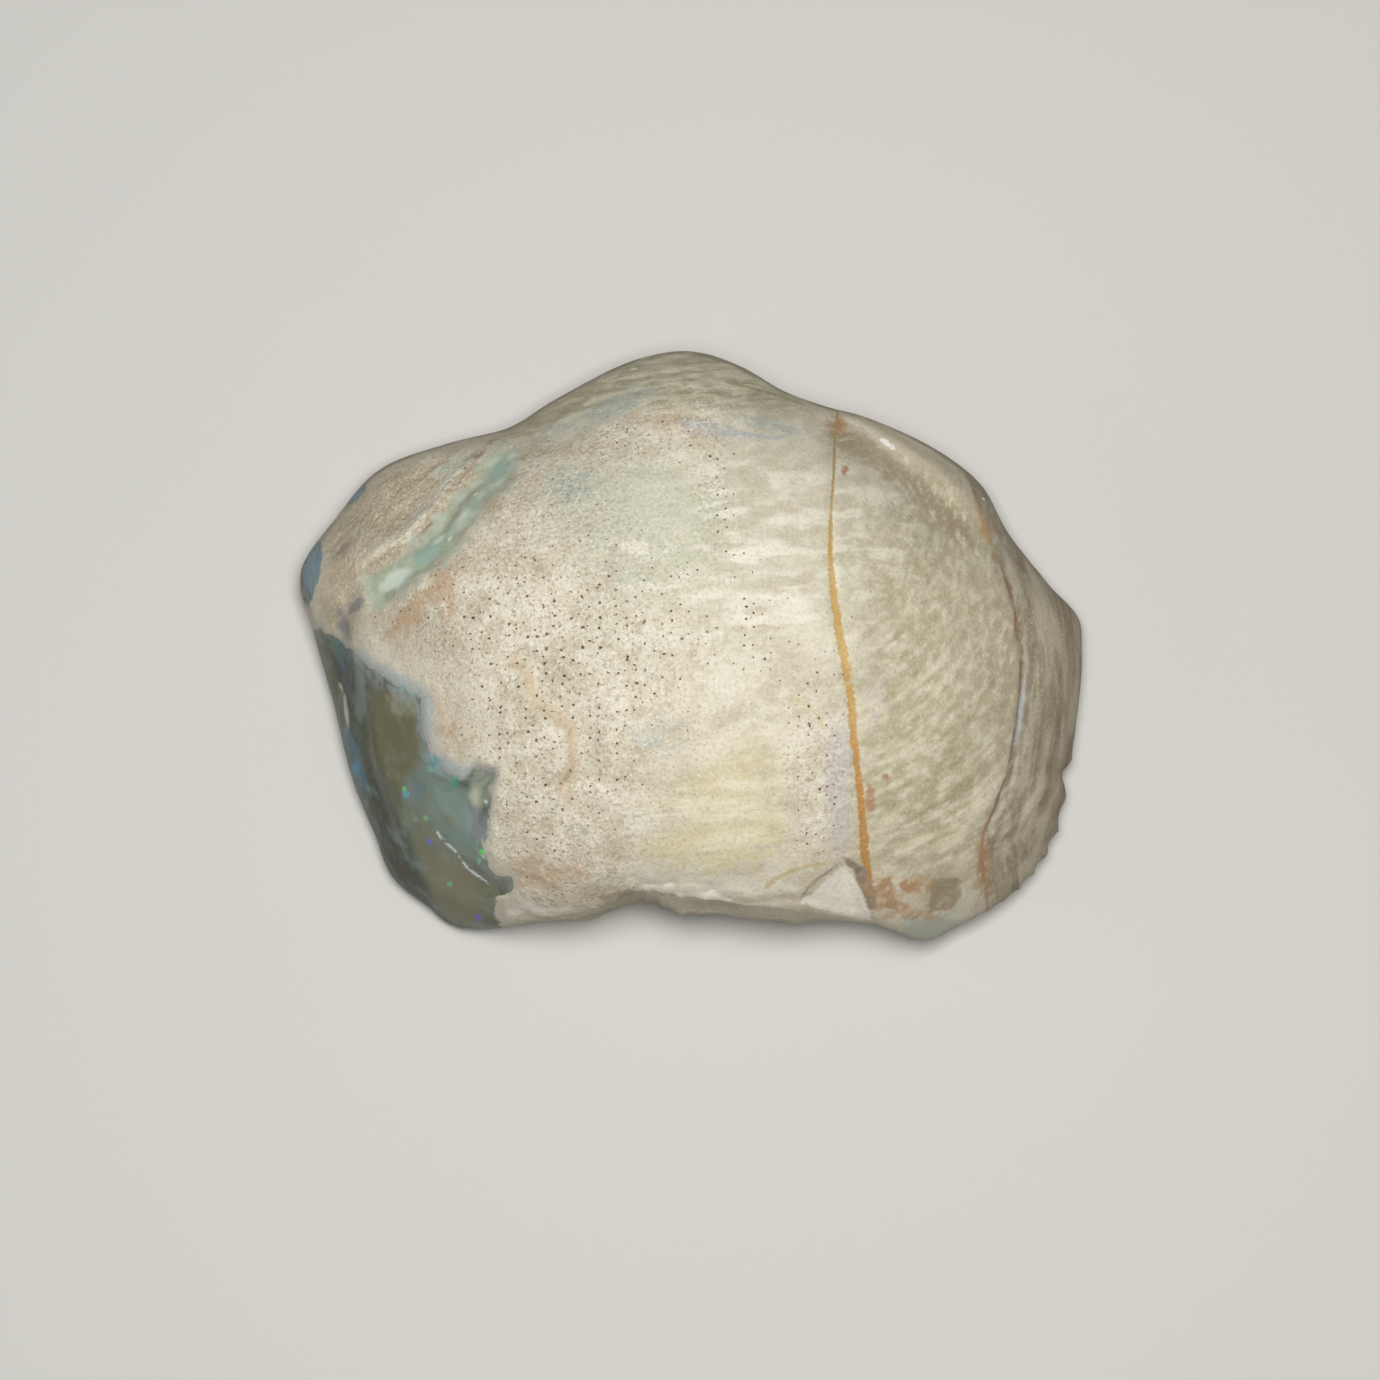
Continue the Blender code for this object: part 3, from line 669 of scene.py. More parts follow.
        (-13.6, -7.9, 1.8, 0.7, -15, 1), (-11.6, -8.3, 1.0, 0.5, 0, 0.6),
    ),
    "cream": (
        (-20.0, -3.5, 0.5, 1.4, 12, 1), (-20.7, -1.8, 0.3, 0.9, 0, 0.7), (-10.3, -15.3, 0.7, 0.5),
        (-7.3, -15.2, 1.7, 0.3, 0, 0.8),
    ),
}


# finishes beside a line: how far to its left and their half width in mm, then where along it, 0 to 1,
# they begin, are whole, fade and end
bands = {
    "grooveOpal": (flap["groove"], -0.1, 1.3, 0.0, 0.15, 0.9, 1.0),
    # painted shade in the crease where the flap drops into the groove; the flap's ridge beyond it is paler,
    # partly its pale crust and partly painted highlight
    "creaseShade": (flap["groove"], -1.7, 0.18, 0.0, 0.15, 0.4, 0.8),
    "ridge": (flap["groove"], -2.2, 0.5, 0.0, 0.15, 0.9, 1.0),
    # painted highlight on the rim's ridge and painted shade in the valley inside it
    "rimRidgeLit": (runs["rim"], 0.75, 0.5, 0.05, 0.25, 0.8, 1.0),
    "rimValleyShade": (runs["rim"], -1.0, 0.9, 0.05, 0.25, 0.8, 1.0),
    "ledge": (runs["ledge"], 0.1, 0.42, 0.0, 0.1, 0.85, 1.0),
    "ridgeShade": (opalEnd["ridge"], -0.15, 0.4, -0.2, -0.1, 1.1, 1.2),
    "pitLine": (runs["pitLine"], 0.0, 0.75, 0.0, 0.02, 0.98, 1.0),
}
# finishes that fade out down the side: the heights where they are gone and whole
fadesDown = {"cream": (4.6, 6.6), "window": (2.6, 4.4), "glint": (5.0, 6.0), "opalBlue": (1.5, 5.0)}


# each spot is strength times a bell curve of elliptic distance; together they make 1 less the product of
# what each leaves
def spotted(x, y, spots):
    left = np.ones_like(x)
    for cx, cy, wide, high, *rest in spots:
        turn, strength = rest or (0, 1)
        turn = math.radians(turn)
        across = ((x - cx) * math.cos(turn) + (y - cy) * math.sin(turn)) / wide
        up = ((y - cy) * math.cos(turn) - (x - cx) * math.sin(turn)) / high
        left = left * (1 - strength * np.exp(-0.7 * (across**2 + up**2) ** 1.5))
    return 1 - left


# finish attributes for every point; none of the upper face's finishes reaches the underside
def shellFinishes(points, place, bare):
    x, y = points[:, 0], points[:, 1]
    above = 1 - ease(place, 0.4, 0.9)
    farBelow = 20 * (1 - above)  # added to a distance, so that nothing is drawn underneath
    fields = {name: spotted(x, y, spots) * above for name, spots in finishes.items()}
    z = points[:, 2]
    unevenHeight = z + 0.8 * waves(points, 1.8, 52)
    for name, (low, high) in fadesDown.items():
        fields[name] = fields[name] * ease(unevenHeight, low, high)
    fields["bare"] = bare
    fields["wall"] = ease(place, 0.0, 0.3)
    fields["under"] = ease(place, 0.5, 1.0)
    fields["across"], fields["along"] = growthAt(x, y)

    aside, along = beside(x, y, runs["ochreCrack"])
    width = 0.08 + 0.12 * ease(along, 0.2, 0.4) - 0.1 * ease(along, 0.84, 0.95)
    width = width + 0.05 * hump(along - 0.5, 0.1) + 0.05 * hump(along - 0.8, 0.07)
    fields["ochre"] = aside / width
    fields["ochreEnds"] = 4 * ease(along, 0.88, 0.97) + farBelow
    outward, along = beside(x, y, runs["flangeCrack"])
    fields["flange"] = ease(outward, -0.05, 0.25) * above
    fields["outward"], fields["downCrack"] = outward, along * 24
    fields["crack"] = (outward - 0.05) / (0.075 + 0.16 * hump(y - 6.3, 1.2) + 0.08 * hump(y - 1.5, 2.0))
    fields["crackEnds"] = farBelow
    fields["strip"] = hump(outward - 0.28, 0.17) * hump(y + 4.2, 2.4) * above
    for name, (line, offset, width, begins, whole, fades, ends) in bands.items():
        aside, along = beside(x, y, line)
        present = ease(along, begins, whole) * ease(along, ends, fades) * above
        fields[name] = hump(aside - offset, width) * present
    fields["pits"] = np.maximum(fields["pits"], 0.9 * fields.pop("pitLine"))
    aside, _ = beside(x, y, opalEnd["ridge"])
    outline = tuple((px, py) for px, py, _ in shell["margin"])
    inside = insideOf(x, y, outline)
    fields["outer"] = np.maximum(ease(-aside, -0.2, 0.7), ease(inside, 1.8, 0.6))
    for name, _, _, corners in opalEnd["flakes"]:
        fields[name] = 0.5 + insideOf(x, y, corners)
    aside, along = beside(x, y, opalEnd["bruise"])
    fields["bruise"] = aside
    fields["bruiseEnds"] = 5 * (ease(along, 0.3, 0.2) + ease(along, 0.86, 0.98)) + farBelow
    for name, _, _, corners in frontFlakes:
        fields[name] = 0.5 + insideOf(x, y, corners) - farBelow
    for name, _, width, line in fineLines + edgeLines:
        aside, along = beside(x, y, line)
        fields[name] = aside / width
        ends = ease(along, 0.12, 0.0) + ease(along, 0.85, 1.0)
        fields[name + "Ends"] = 3 * ends + 20 * ease(place, 0.0, 0.14)
    # a yellow-olive rim along the top margin, darker partly as painted shade of the steep face there
    fields["oliveRimAndShade"] = ease(inside, 0.75, 0.1) * ease(y, 3, 8) * (1 - 0.9 * ease(z, 6.5, 3.5))
    return fields


# sRGB hex to linear: (c / 12.92) below 0.04045, else ((c + 0.055) / 1.055) ** 2.4
def linear(text):
    channels = [int(text[i:i + 2], 16) / 255 for i in (1, 3, 5)]
    return tuple(c / 12.92 if c <= 0.04045 else ((c + 0.055) / 1.055) ** 2.4 for c in channels) + (1.0,)


# adds a node, sets its options, fills its sockets with values or links, and gives one output if it has any
def addNode(tree, kind, sockets=None, output=0, **options):
    node = tree.nodes.new("ShaderNode" + kind)
    for name, value in options.items():
        setattr(node, name, value)
    for name, value in (sockets or {}).items():
        if isinstance(value, bpy.types.NodeSocket):
            tree.links.new(value, node.inputs[name])
        else:
            node.inputs[name].default_value = value
    return node.outputs[output] if node.outputs else None


crustAndOpal = {
    # sizes in mm of the crumbs, patches and clouds that unsettle the edges of coats
    "noises": {"crumbs": 0.6, "patches": 1.2, "clouds": 2.6},
    "noiseRoughness": 0.55,
    "grain": (0.2, 0.8),  # size in mm and roughness
    # noise drawn out along a way: its width in mm, how many times longer it is, the ways across and along it
    "drawnOut": {
        "dashes": (0.9, 3.5, (-0.12, 1.0, 0.0), (1.0, 0.12, 0.0)),
        "streaks": (0.8, 7.0, "across", "along"),
        "leaves": (0.5, 4.5, (-0.64, 0.77, 0.0), (0.77, 0.64, 0.0)),
        "striae": (0.4, 4.0, (-0.12, 1.0, 0.0), (1.0, 0.12, 0.0)),
        "stripes": (0.5, 7.0, "outward", "downCrack"),
        "mottle": (0.45, 2.2, "across", "along"),
    },
    # tints: colour, strength, the finish they keep to, the value they follow, where they begin and are full
    "chalk": "#bdb39d",
    "chalkTints": (
        ("#cfc8b5", 1.0, "all", "clouds", 0.35, 0.65),
        ("#ded5c4", 0.8, "porous", "patches", 0.5, 0.66),
        ("#b3a38c", 0.7, "porous", "patches", 0.48, 0.3),
    ),
    # coats: finish, colour, size of its ragged edge, raggedness, softness, strength
    "cloudedCoats": (
        ("green", "#bbbba6", "patches", 0.8, 0.35, 0.8),
        ("honey", "#c6bb95", "patches", 0.6, 0.4, 0.75),
        ("tan", "#aca387", "patches", 0.8, 0.4, 0.85),
        ("olive", "#aea98f", "patches", 0.6, 0.4, 0.85),
        # partly painted shade on steep slopes
        ("duskyAndShade", "#a3947c", "patches", 0.7, 0.4, 0.7),
        ("bluish", "#a3aba6", "crumbs", 0.9, 0.3, 0.75),
        ("chalk", "#d3cebc", "crumbs", 0.7, 0.2, 0.85),
    ),
    "lineTints": (
        ("#dddac9", 0.75, "dashed", "dashes", 0.5, 0.62),
        ("#b3b199", 0.6, "dashed", "dashes", 0.5, 0.38),
        ("#e2dcc8", 0.4, "lined", "streaks", 0.5, 0.7),
        ("#a39a80", 0.25, "lined", "streaks", 0.5, 0.33),
    ),
    "flakedFace": ("crumbs", 0.3, 0.12, 0.9),
    "edgedCoats": (
        ("lavender", "#b6b0b2", "crumbs", 0.6, 0.35, 0.7),
        ("flap", "#ac9d82", "patches", 0.7, 0.4, 0.85),
        # the flap's ridge, paler partly as painted highlight
        ("ridge", "#bdb6a3", "crumbs", 0.5, 0.3, 0.8),
        ("flapPale", "#b7bbae", "crumbs", 0.6, 0.25, 0.9),
        # purple-grey, partly painted shade in the crease
        ("purpleShade", "#7d6f66", "crumbs", 0.7, 0.3, 0.6),
        # painted shade in the flap's crease
        ("creaseShade", "#857669", "crumbs", 0.7, 0.3, 0.6),
        # painted shade in the rim's valley
        ("rimValleyShade", "#92836a", "patches", 0.5, 0.4, 0.8),
        # painted highlight on the rim's ridge
        ("rimRidgeLit", "#c0b49c", "crumbs", 0.5, 0.35, 0.8),
        ("flange", "#8d8069", "crumbs", 0.2, 0.3, 0.88),
    ),
    "stripeTints": (
        ("#c6b89f", 0.65, "flap", "leaves", 0.5, 0.62),
        ("#83746a", 0.6, "flap", "leaves", 0.48, 0.35),
        ("#d0cbb4", 0.75, "olive", "striae", 0.5, 0.62),
        ("#8f8a6f", 0.7, "olive", "striae", 0.48, 0.36),
        ("#d6cdb2", 0.6, "striped", "streaks", 0.5, 0.64),
        ("#9b8f74", 0.5, "striped", "streaks", 0.5, 0.36),
        ("#b9b09c", 0.7, "flange", "stripes", 0.45, 0.62),
        ("#7c6653", 0.6, "flange", "stripes", 0.46, 0.33),
    ),
    "grainTints": (
        ("#d2ccb5", 0.75, "tan", "mottle", 0.48, 0.72),
        ("#958b6c", 0.6, "tan", "mottle", 0.5, 0.28),
        ("#ebe7d9", 1.0, "grainy", "grain", 0.5, 0.78),
        ("#887c66", 1.0, "grainy", "grain", 0.5, 0.28),
    ),
    # coats broken up inside: rust and other marks, and painted shade in the valley and along the olive rim
    "brokenCoats": (
        # lavender-grey opal in the valley, partly painted shade
        ("valley", "#75777f", "crumbs", 1.4, 0.35, 0.65),
        ("ledge", "#b9a68b", "crumbs", 1.6, 0.35, 0.65),
        ("rust", "#ae8d6a", "crumbs", 2.6, 0.4, 0.6),
        ("rustDots", "#9a7048", "crumbs", 2.6, 0.35, 0.6),
        ("strip", "#bcc2c6", "crumbs", 1.2, 0.35, 0.75),
        # olive rim, partly painted shade of the steep top margin
        ("oliveRimAndShade", "#80785d", "patches", 1.9, 0.5, 0.65),
    ),
    "pit": "#33200f",
    "pitTints": (("#764a28", 1.0, "all", "clouds", 0.4, 0.6),),
    "pitSpacing": 0.5,
    "pitDepth": 0.1275,
    "ochre": "#b3904d",
    "ochreTints": (
        ("#bd9c60", 1.0, "all", "clouds", 0.4, 0.6),
        ("#9c8761", 0.9, "all", "upward", 3.0, 9.5),
        ("#b07a36", 0.85, "all", "upward", -4.0, -9.0),
        ("#96682f", 0.4, "all", "grain", 0.52, 0.3),
        ("#d3b787", 0.35, "all", "grain", 0.5, 0.7),
    ),
    "crack": "#8a6047",
    "crackTints": (
        ("#b98f56", 1.0, "all", "upward", 3.0, 5.5),
        ("#ae7a4d", 1.0, "all", "upward", -9.5, -11.5),
    ),
    "wall": "#726c5e",
    "wallTints": (
        ("#bfb6a3", 1.0, "all", "layers", 0.3, 0.7),
        ("#a39a86", 0.5, "all", "patches", 0.5, 0.7),
        ("#5f594d", 0.5, "all", "grain", 0.5, 0.3),
        ("#d3cbba", 0.5, "all", "grain", 0.5, 0.7),
    ),
    "opal": "#504d37",
    "opalGround": (("#5e6650", 1.0, "all", "patches", 0.35, 0.65),),
    "opalFlake": ("crumbs", 0.25, 0.28, 0.85),
    "opalCoats": (
        ("opalBrown", "#5f5a3f", "clouds", 0.3, 0.45, 0.5),
        ("opalGrey", "#72837c", "clouds", 0.3, 0.45, 0.5),
        ("opalWarm", "#7b735c", "clouds", 0.4, 0.45, 0.6),
        # partly painted shade on the steep outer facets
        ("opalDeepAndShade", "#1f2d1c", "clouds", 0.3, 0.5, 0.8),
        ("ridgeShade", "#343829", "clouds", 0.3, 0.5, 0.5),
        ("opalBlue", "#41707f", "crumbs", 0.7, 0.4, 0.8),
        ("opalPale", "#a2a592", "crumbs", 0.5, 0.3, 0.6),
        ("skyBlue", "#6f8b9c", "crumbs", 0.5, 0.3, 0.85),
    ),
    "opalTints": (
        ("#7d9086", 0.5, "all", "clouds", 0.5, 0.7),
        ("#66613f", 0.4, "all", "clouds", 0.5, 0.3),
        ("#939a8a", 0.2, "all", "patches", 0.5, 0.75),
    ),
    "seam": "#8fa6aa",
    # painted highlight: the whitish line along the ridge below the grey facet
    "bruise": "#d3dcdf",
    # the crust's pale lip, partly painted light over the shade at its step
    "lip": ("#bdb6a4", "#a1a9ac"),
    "teal": "#9ba28d",
    "tealTints": (
        ("#b3baa8", 1.0, "all", "patches", 0.4, 0.62),
        ("#8eac9e", 0.8, "all", "teal", 0.2, 0.9),
        ("#c6d0c3", 0.9, "all", "milky", 0.2, 0.9),
    ),
    "glint": "#eeebe4",
    # flecks of colour: x, y, radius in mm, colour
    "sparks": (
        (-11.45, -12.0, 0.26, "#3fe04a"), (-12.95, -8.2, 0.4, "#3fae8a"), (-14.5, -11.3, 0.26, "#5a62e0"),
        (-15.8, -8.6, 0.34, "#56a8c0"), (-11.9, -15.3, 0.28, "#6a4fe0"), (-15.9, -8.3, 0.2, "#5fd06a"),
        (17.15, 5.2, 0.18, "#5fd040"), (-14.0, -7.1, 0.5, "#5a9fb0"), (-19.0, -6.7, 0.6, "#4f93b8"),
    ),
    "ior": 1.45,
    "specularLevel": 0.38,  # worn and dusty, so it mirrors less than a polished stone
}


# Fossil shell turned to chalky, porous crust over glassy common opal: the crust is matt and grainy,
# with pinhead pits and rust, and the broken opal is smooth, wet-looking and shows small flecks of colour.
# Some colours stand in for light: painted highlights in the glints, along the opal's ridge and on the rim,
# and painted shade in the flap's crease, the rim's valley, on steep slopes and on the opal's steep facets.
def makeCrustAndOpal(finishNames):
    plan = crustAndOpal
    material = bpy.data.materials.new("chalky crust over common opal")
    material.use_nodes = True
    tree = material.node_tree
    tree.nodes.clear()

    place = addNode(tree, "TexCoord", output=3)
    point = addNode(tree, "VectorMath", {0: place, 3: 1 / millimetre}, operation="SCALE")
    value = {name: addNode(tree, "Attribute", output=2, attribute_name=name) for name in finishNames}
    value["all"] = 1.0
    value["upward"] = addNode(tree, "SeparateXYZ", {0: point}, output=1)

    # noise textures are shared, because they cost the most to draw
    even = plan["noiseRoughness"]
    flattened = addNode(tree, "VectorMath", {0: point, 1: (0.4, 0.4, 2.0)}, operation="MULTIPLY")
    noises = [(name, point, size, 3.0, even) for name, size in plan["noises"].items()]
    noises += [("grain", point, plan["grain"][0], 3.0, plan["grain"][1])]
    noises += [("layers", flattened, plan["noises"]["patches"], 3.0, even)]
    for name, (size, stretch, *ways) in plan["drawnOut"].items():
        for i, way in enumerate(ways):
            if isinstance(way, str):
                ways[i] = value[way]
            else:
                ways[i] = addNode(tree, "VectorMath", {0: point, 1: way}, output=1, operation="DOT_PRODUCT")
        shortened = addNode(tree, "Math", {0: ways[1], 1: 1 / stretch}, operation="MULTIPLY")
        where = addNode(tree, "CombineXYZ", {0: ways[0], 1: shortened, 2: 3.7})
        noises += [(name, where, size, 2.0, even)]
    for name, where, size, detail, rough in noises:
        sockets = {"Vector": where, "Scale": 1 / size, "Detail": detail, "Roughness": rough}
        value[name] = addNode(tree, "TexNoise", sockets)
    grain, crumbs, patches = value["grain"], value["crumbs"], value["patches"]
    value["grainy"] = addNode(tree, "Math", {0: value["porous"], 1: 0.55, 2: 0.38}, operation="MULTIPLY_ADD")

    # level + amount (noise - 0.5)
    def unsettled(level, noise, amount):
        middled = addNode(tree, "Math", {0: noise, 1: 0.5}, operation="SUBTRACT")
        return addNode(tree, "Math", {0: middled, 1: amount, 2: level}, operation="MULTIPLY_ADD")

    # most, times how far each level has come from its first limit to its second, 0 to 1
    def reached(most, *limits):
        for level, begins, full in limits:
            sockets = {"Value": level, "From Min": begins, "From Max": full, "To Max": most}
            most = addNode(tree, "MapRange", sockets, interpolation_type="SMOOTHSTEP")
        return most

    # a colour over the one below, by strength times mask times what the limits give
    def laid(below, above, strength, mask, *limits):
        most = addNode(tree, "Math", {0: mask, 1: strength}, operation="MULTIPLY")
        below, above = [linear(shade) if isinstance(shade, str) else shade for shade in (below, above)]
        sockets = {0: reached(most, *limits), 6: below, 7: above}
        return addNode(tree, "Mix", sockets, output=2, data_type="RGBA")

    def tinted(below, tints):
        for shade, strength, mask, followed, begins, full in tints:
            below = laid(below, shade, strength, value[mask], (value[followed], begins, full))
        return below

    # a coat is its finish plus noise, so its edge is ragged
    def coated(below, name, shade, size, ragged, softness, strength):
        edge = unsettled(value[name], value[size], 2 * ragged)
        return laid(below, shade, strength, 1.0, (edge, 0.5 - softness, 0.5 + softness))

    # a broken coat is its finish times noise, so it breaks up inside and leaves nothing outside; among them
    # are rust and other marks, and also painted shade in the valley and along the olive rim
    def brokenCoated(below, name, shade, size, ragged, softness, strength):
        broken = unsettled(1.0, value[size], 2 * ragged)
        broken = addNode(tree, "Math", {0: broken, 1: value[name]}, operation="MULTIPLY")
        return laid(below, shade, strength, 1.0, (broken, 0.5 - softness, 0.5 + softness))

    # distance from a line in half widths, raised past its ends
    def nearLine(name):
        aside = addNode(tree, "Math", {0: value[name]}, operation="ABSOLUTE")
        return addNode(tree, "Math", {0: aside, 1: value[name + "Ends"]}, operation="ADD")

    def traced(below, name, shade):
        return laid(below, shade, 0.7, 1.0, (unsettled(nearLine(name), crumbs, 2.0), 1.3, 0.3))

    colour = tinted(plan["chalk"], plan["chalkTints"])
    for coat in plan["cloudedCoats"]:
        colour = coated(colour, *coat)
    colour = tinted(colour, plan["lineTints"])
    for name, shade, _, _ in frontFlakes:
        colour = coated(colour, name, shade, *plan["flakedFace"])
    for coat in plan["edgedCoats"]:
        colour = coated(colour, *coat)
    colour = tinted(colour, plan["stripeTints"])
    for name, shade, _, _ in fineLines:
        colour = traced(colour, name, shade)
    colour = tinted(colour, plan["grainTints"])
    for brokenCoat in plan["brokenCoats"]:
        colour = brokenCoated(colour, *brokenCoat)

    # pinhead pits, up to 0.2 mm across, in some of the cells where they crowd
    flat = addNode(tree, "VectorMath", {0: point, 1: (1.0, 1.0, 0.0)}, operation="MULTIPLY")
    wander = addNode(tree, "CombineXYZ", {0: grain, 1: patches})
    flat = addNode(tree, "VectorMath", {0: wander, 1: (0.3, 0.5, 0.0), 2: flat}, operation="MULTIPLY_ADD")
    fromPit = addNode(tree, "TexVoronoi", {"Vector": flat, "Scale": 1 / plan["pitSpacing"]},
                      voronoi_dimensions="2D")
    draw = addNode(tree, "SeparateColor", {0: fromPit.node.outputs["Color"]})
    secondDraw = draw.node.outputs[1]
    crowding = addNode(tree, "Math", {0: value["pits"], 1: 0.6}, operation="MULTIPLY")
    chosen = addNode(tree, "Math", {0: crowding, 1: draw}, operation="GREATER_THAN")
    pitRim = addNode(tree, "Math", {0: draw, 1: 0.2, 2: 0.07}, operation="MULTIPLY_ADD")
    pitFloor = addNode(tree, "Math", {0: pitRim, 1: 0.5}, operation="MULTIPLY")
    pit = reached(chosen, (fromPit, pitRim, pitFloor))
    colour = laid(colour, tinted(plan["pit"], plan["pitTints"]), 0.85, pit)

    # cracks filled with ochre and rust
    edge = unsettled(unsettled(nearLine("ochre"), crumbs, 1.6), grain, 1.2)
    colour = laid(colour, tinted(plan["ochre"], plan["ochreTints"]), 0.92, 1.0, (edge, 1.25, 0.65))
    filling = addNode(tree, "MapRange", {"Value": patches, "From Min": 0.36, "From Max": 0.5, "To Min": 0.25,
                                         "To Max": 0.85}, interpolation_type="SMOOTHSTEP")
    edge = unsettled(nearLine("crack"), crumbs, 3.0)
    colour = laid(colour, tinted(plan["crack"], plan["crackTints"]), 1.0, filling, (edge, 1.3, 0.6))

    # worn underside and broken front, in layers of grey and buff
    colour = laid(colour, tinted(plan["wall"], plan["wallTints"]), 0.85, value["wall"])
    for name, shade, _, _ in edgeLines:
        colour = traced(colour, name, shade)

    # broken opal: facets of different depth, coloured partly as painted light and shade, a bluish seam under
    # the crust, a painted highlight along a ridge, flecks of colour
    opal = tinted(plan["opal"], plan["opalGround"])
    # partly painted light and shade: each flake is coloured for how its facet catches the light
    for name, shade, _, _ in opalEnd["flakes"]:
        opal = coated(opal, name, shade, *plan["opalFlake"])
    for coat in plan["opalCoats"]:
        opal = coated(opal, *coat)
    opal = tinted(opal, plan["opalTints"])
    bluer = addNode(tree, "Math", {0: value["blueEdge"], 1: 0.8, 2: 0.2}, operation="MULTIPLY_ADD")
    opal = laid(opal, plan["seam"], 1.0, bluer, (value["bare"], 0.9, 0.05), (crumbs, 0.35, 0.6))
    # painted highlight: a whitish line along the ridge below the grey facet
    edge = unsettled(nearLine("bruise"), grain, 0.35)
    opal = laid(opal, plan["bruise"], 0.8, 1.0, (edge, 0.13, 0.0), (crumbs, 0.44, 0.56))
    turn = addNode(tree, "Math", {0: secondDraw, 1: 3.0, 2: 0.3}, operation="MULTIPLY_ADD")
    hue = addNode(tree, "CombineColor", {0: turn, 1: 0.75, 2: 0.62}, mode="HSV")
    opal = laid(opal, hue, 0.5, 1.0, (secondDraw, 0.06, 0.03), (fromPit, 0.5, 0.1),
                (value["upward"], -4.5, -7.5), (value["outer"], 0.9, 0.3))

    # the crust's edge is a bluish or buff lip, partly the crust's own pale edge and partly painted light that
    # lightens the shade at its step; opal lies beyond it, in gaps in the crust and in the groove
    aboveBase = addNode(tree, "Math", {0: 1.0, 1: value["under"]}, operation="SUBTRACT")
    bare = unsettled(value["bare"], crumbs, 0.5)
    lipReach = addNode(tree, "Math", {0: value["blueEdge"], 1: -0.5, 2: -0.6}, operation="MULTIPLY_ADD")
    lip = laid(*plan["lip"], 1.0, value["blueEdge"])
    colour = laid(colour, lip, 0.8, aboveBase, (bare, lipReach, -0.1))
    cream = unsettled(value["cream"], patches, 1.0)
    opened = reached(aboveBase, (bare, 0.0, 0.16), (cream, 0.6, 0.3))
    window = reached(1.0, (unsettled(value["window"], patches, 1.2), 0.4, 0.6))
    opened = addNode(tree, "Math", {0: opened, 1: window}, operation="MAXIMUM")
    wet = reached(1.0, (unsettled(unsettled(value["grooveOpal"], patches, 1.2), crumbs, 0.8), 0.25, 0.8))
    glassy = addNode(tree, "Math", {0: opened, 1: wet}, operation="MAXIMUM")
    colour = laid(colour, laid(tinted(plan["teal"], plan["tealTints"]), opal, 1.0, opened), 1.0, glassy)
    # painted highlights: the glint spots are laid into the colour as white
    glint = unsettled(unsettled(1.0, crumbs, 2.0), grain, 1.6)
    glint = addNode(tree, "Math", {0: glint, 1: value["glint"]}, operation="MULTIPLY")
    colour = laid(colour, plan["glint"], 0.85, 1.0, (glint, 0.5, 0.8))
    offWall = addNode(tree, "Math", {0: 1.0, 1: value["wall"]}, operation="SUBTRACT")
    for x, y, radius, shade in plan["sparks"]:
        away = addNode(tree, "VectorMath", {0: flat, 1: (x, y, 0.0)}, output=1, operation="DISTANCE")
        colour = laid(colour, shade, 0.8, offWall, (away, radius, 0.0))

    # the crust is matt, less so where it is dense; the opal is glassy, and satin where its outer edge is worn
    dense = addNode(tree, "Math", {0: value["honey"], 1: value["tan"]}, operation="MAXIMUM")
    dense = addNode(tree, "Math", {0: value["green"], 1: dense}, operation="MAXIMUM")
    polish = addNode(tree, "Math", {0: dense, 1: -0.6}, operation="MULTIPLY")
    matt = addNode(tree, "Math", {0: grain, 1: 0.5, 2: polish}, operation="MULTIPLY_ADD")
    matt = addNode(tree, "MapRange", {"Value": matt, "From Min": -0.4, "From Max": 0.4, "To Min": 0.42,
                                      "To Max": 0.8}, interpolation_type="SMOOTHSTEP")
    glass = addNode(tree, "MapRange", {"Value": value["outer"], "To Min": 0.14, "To Max": 0.5},
                    interpolation_type="SMOOTHSTEP")
    roughness = addNode(tree, "Mix", {0: glassy, 2: matt, 3: glass})

    # every noise is taken about its middle, so that the crust's relief doesn't end in a step at the opal
    height = 0.0
    for noise, least, most in (("grain", 0.03, 0.08), ("patches", 0.05, 0.2)):
        share = addNode(tree, "MapRange", {"Value": value["porous"], "To Min": least, "To Max": most},
                        interpolation_type="SMOOTHSTEP")
        height = unsettled(height, value[noise], share)
    ribs = addNode(tree, "Math", {0: value["lined"], 1: 0.1}, operation="MULTIPLY")
    height = unsettled(height, value["streaks"], ribs)
    height = addNode(tree, "Math", {0: pit, 1: -plan["pitDepth"], 2: height}, operation="MULTIPLY_ADD")
    smoothed = {0: reached(1.0, (value["bare"], -0.1, 0.2)), 1: reached(1.0, (value["grooveOpal"], 0.3, 0.8))}
    smoothed = addNode(tree, "Math", smoothed, operation="MAXIMUM")
    kept = addNode(tree, "Math", {0: smoothed, 1: -0.96, 2: 1.0}, operation="MULTIPLY_ADD")
    height = addNode(tree, "Math", {0: height, 1: kept}, operation="MULTIPLY")
    bump = addNode(tree, "Bump", {"Strength": 1.0, "Distance": millimetre, "Height": height})

    sockets = {"Base Color": colour, "Roughness": roughness, "Normal": bump, "IOR": plan["ior"],
               "Specular IOR Level": plan["specularLevel"]}
    addNode(tree, "OutputMaterial", {0: addNode(tree, "BsdfPrincipled", sockets)})
    return material


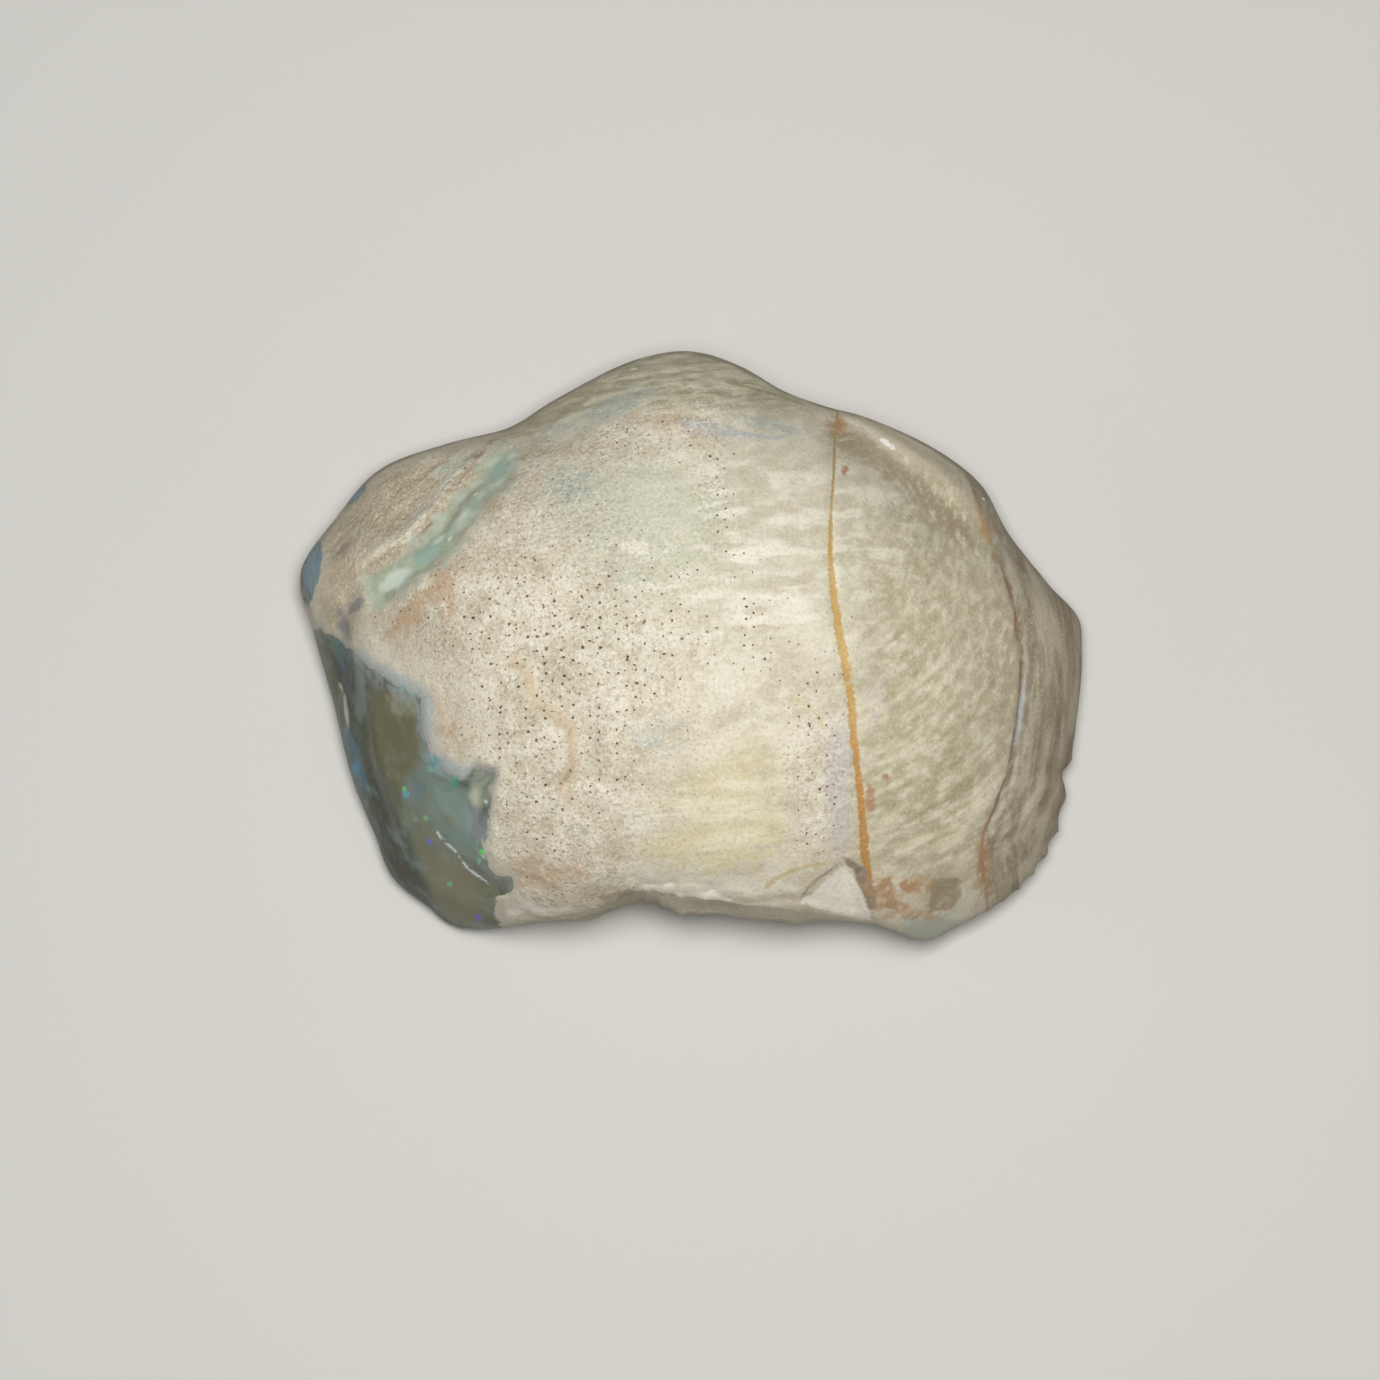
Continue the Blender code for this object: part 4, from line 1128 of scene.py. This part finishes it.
# rings run from the summit outwards and under; one point closes each end
def meshFromRings(name, rings, first, last):
    turns, steps, _ = rings.shape
    points = np.concatenate([rings.reshape(-1, 3), [first, last]])
    i, j = np.meshgrid(np.arange(turns - 1), np.arange(steps), indexing="ij")
    k = (j + 1) % steps
    quads = [i * steps + j, (i + 1) * steps + j, (i + 1) * steps + k, i * steps + k]
    quads = np.stack(quads, axis=-1).reshape(-1, 4)
    ring = np.arange(steps)
    nextRing = (ring + 1) % steps
    start = np.full(steps, turns * steps)
    lastRing = (turns - 1) * steps
    caps = np.concatenate([np.stack([start, ring, nextRing], axis=1),
                           np.stack([start + 1, lastRing + nextRing, lastRing + ring], axis=1)])
    mesh = bpy.data.meshes.new(name)
    mesh.from_pydata((points * millimetre).tolist(), [], quads.tolist() + caps.tolist())
    mesh.validate()
    mesh.polygons.foreach_set("use_smooth", np.ones(len(mesh.polygons), dtype=bool))
    return mesh


print("making the shell")
rings, place, bare = shellSurface()
first = np.append(0.0 * rings[0, 0, :2], rings[0, :, 2].mean())
last = np.array([0.0, 0.0, 0.0])
mesh = meshFromRings("opalised shell", rings, first, last)
allPoints = np.concatenate([rings.reshape(-1, 3), [first, last]])
allPlaces = np.concatenate([place.ravel(), [0.0, 2.0]])
allBare = np.concatenate([bare.ravel(), [-15.0, -15.0]])
shellFields = shellFinishes(allPoints, allPlaces, allBare)
for name, values in shellFields.items():
    attribute = mesh.attributes.new(name, "FLOAT", "POINT")
    attribute.data.foreach_set("value", values.astype(np.float32))
shellPiece = bpy.data.objects.new("opalised_shell_surface", mesh)
bpy.context.collection.objects.link(shellPiece)
mesh.materials.append(makeCrustAndOpal(shellFields))
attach(shellPiece, "root")
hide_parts("opalized_shell")
print("shell:", len(mesh.vertices), "points")

stage = {
    "floorSize": 1600.0,
    "floorColour": "#c2c0bb",
    "camera": {"aim": (0.0, -2.35, 4.0), "distance": 300.0, "elevation": 84.0, "frameWidth": 79.31},
    # name, place and size in mm, watts, colour
    "lights": (
        ("key softbox", (5.0, -10.0, 290.0), 80.0, 0.97, "#fdfdfb"),
        ("left fill", (-420.0, -60.0, 260.0), 300.0, 0.2, "#eef4ff"),
        ("right fill", (380.0, -260.0, 240.0), 300.0, 0.1, "#fff4e6"),
    ),
    "world": ("#c9ccd0", 0.05),
}


# flat floor, evenly coloured and matt
def makeFloor():
    half = stage["floorSize"] / 2 * millimetre
    mesh = bpy.data.meshes.new("floor")
    corners = [(-half, -half, 0), (half, -half, 0), (half, half, 0), (-half, half, 0)]
    mesh.from_pydata(corners, [], [(0, 1, 2, 3)])
    floor = bpy.data.objects.new("floor", mesh)
    bpy.context.collection.objects.link(floor)
    material = bpy.data.materials.new("matt paper")
    material.use_nodes = True
    tree = material.node_tree
    shader = tree.nodes["Principled BSDF"]
    shader.inputs["Base Color"].default_value = linear(stage["floorColour"])
    shader.inputs["Roughness"].default_value = 0.8
    mesh.materials.append(material)


# a square light at its place, turned to face the aim
def makeLight(name, where, size, watts, colour):
    light = bpy.data.lights.new(name, "AREA")
    light.size = size * millimetre
    light.energy = watts
    light.color = linear(colour)[:3]
    lamp = bpy.data.objects.new(name, light)
    lamp.location = Vector(where) * millimetre
    lamp.rotation_euler = (Vector((0, 0, 8.0)) - Vector(where)).to_track_quat("-Z", "Y").to_euler()
    bpy.context.collection.objects.link(lamp)


# camera at the given distance from its aim, leaning towards -y
def makeCamera():
    view = stage["camera"]
    lean = math.radians(view["elevation"])
    aim = Vector(view["aim"])
    away = Vector((0.0, -math.cos(lean), math.sin(lean)))
    camera = bpy.data.cameras.new("camera")
    camera.lens = camera.sensor_width * view["distance"] / view["frameWidth"]
    camera.clip_start = 0.01
    rig = bpy.data.objects.new("camera", camera)
    rig.location = (aim + away * view["distance"]) * millimetre
    rig.rotation_euler = (-away).to_track_quat("-Z", "Y").to_euler()
    bpy.context.collection.objects.link(rig)
    bpy.context.scene.camera = rig


print("setting the stage")
makeFloor()
for light in stage["lights"]:
    makeLight(*light)
makeCamera()
world = bpy.data.worlds.new("studio")
world.use_nodes = True
background = world.node_tree.nodes["Background"]
background.inputs["Color"].default_value = linear(stage["world"][0])
background.inputs["Strength"].default_value = stage["world"][1]
bpy.context.scene.world = world
bpy.context.scene.view_settings.view_transform = "Standard"
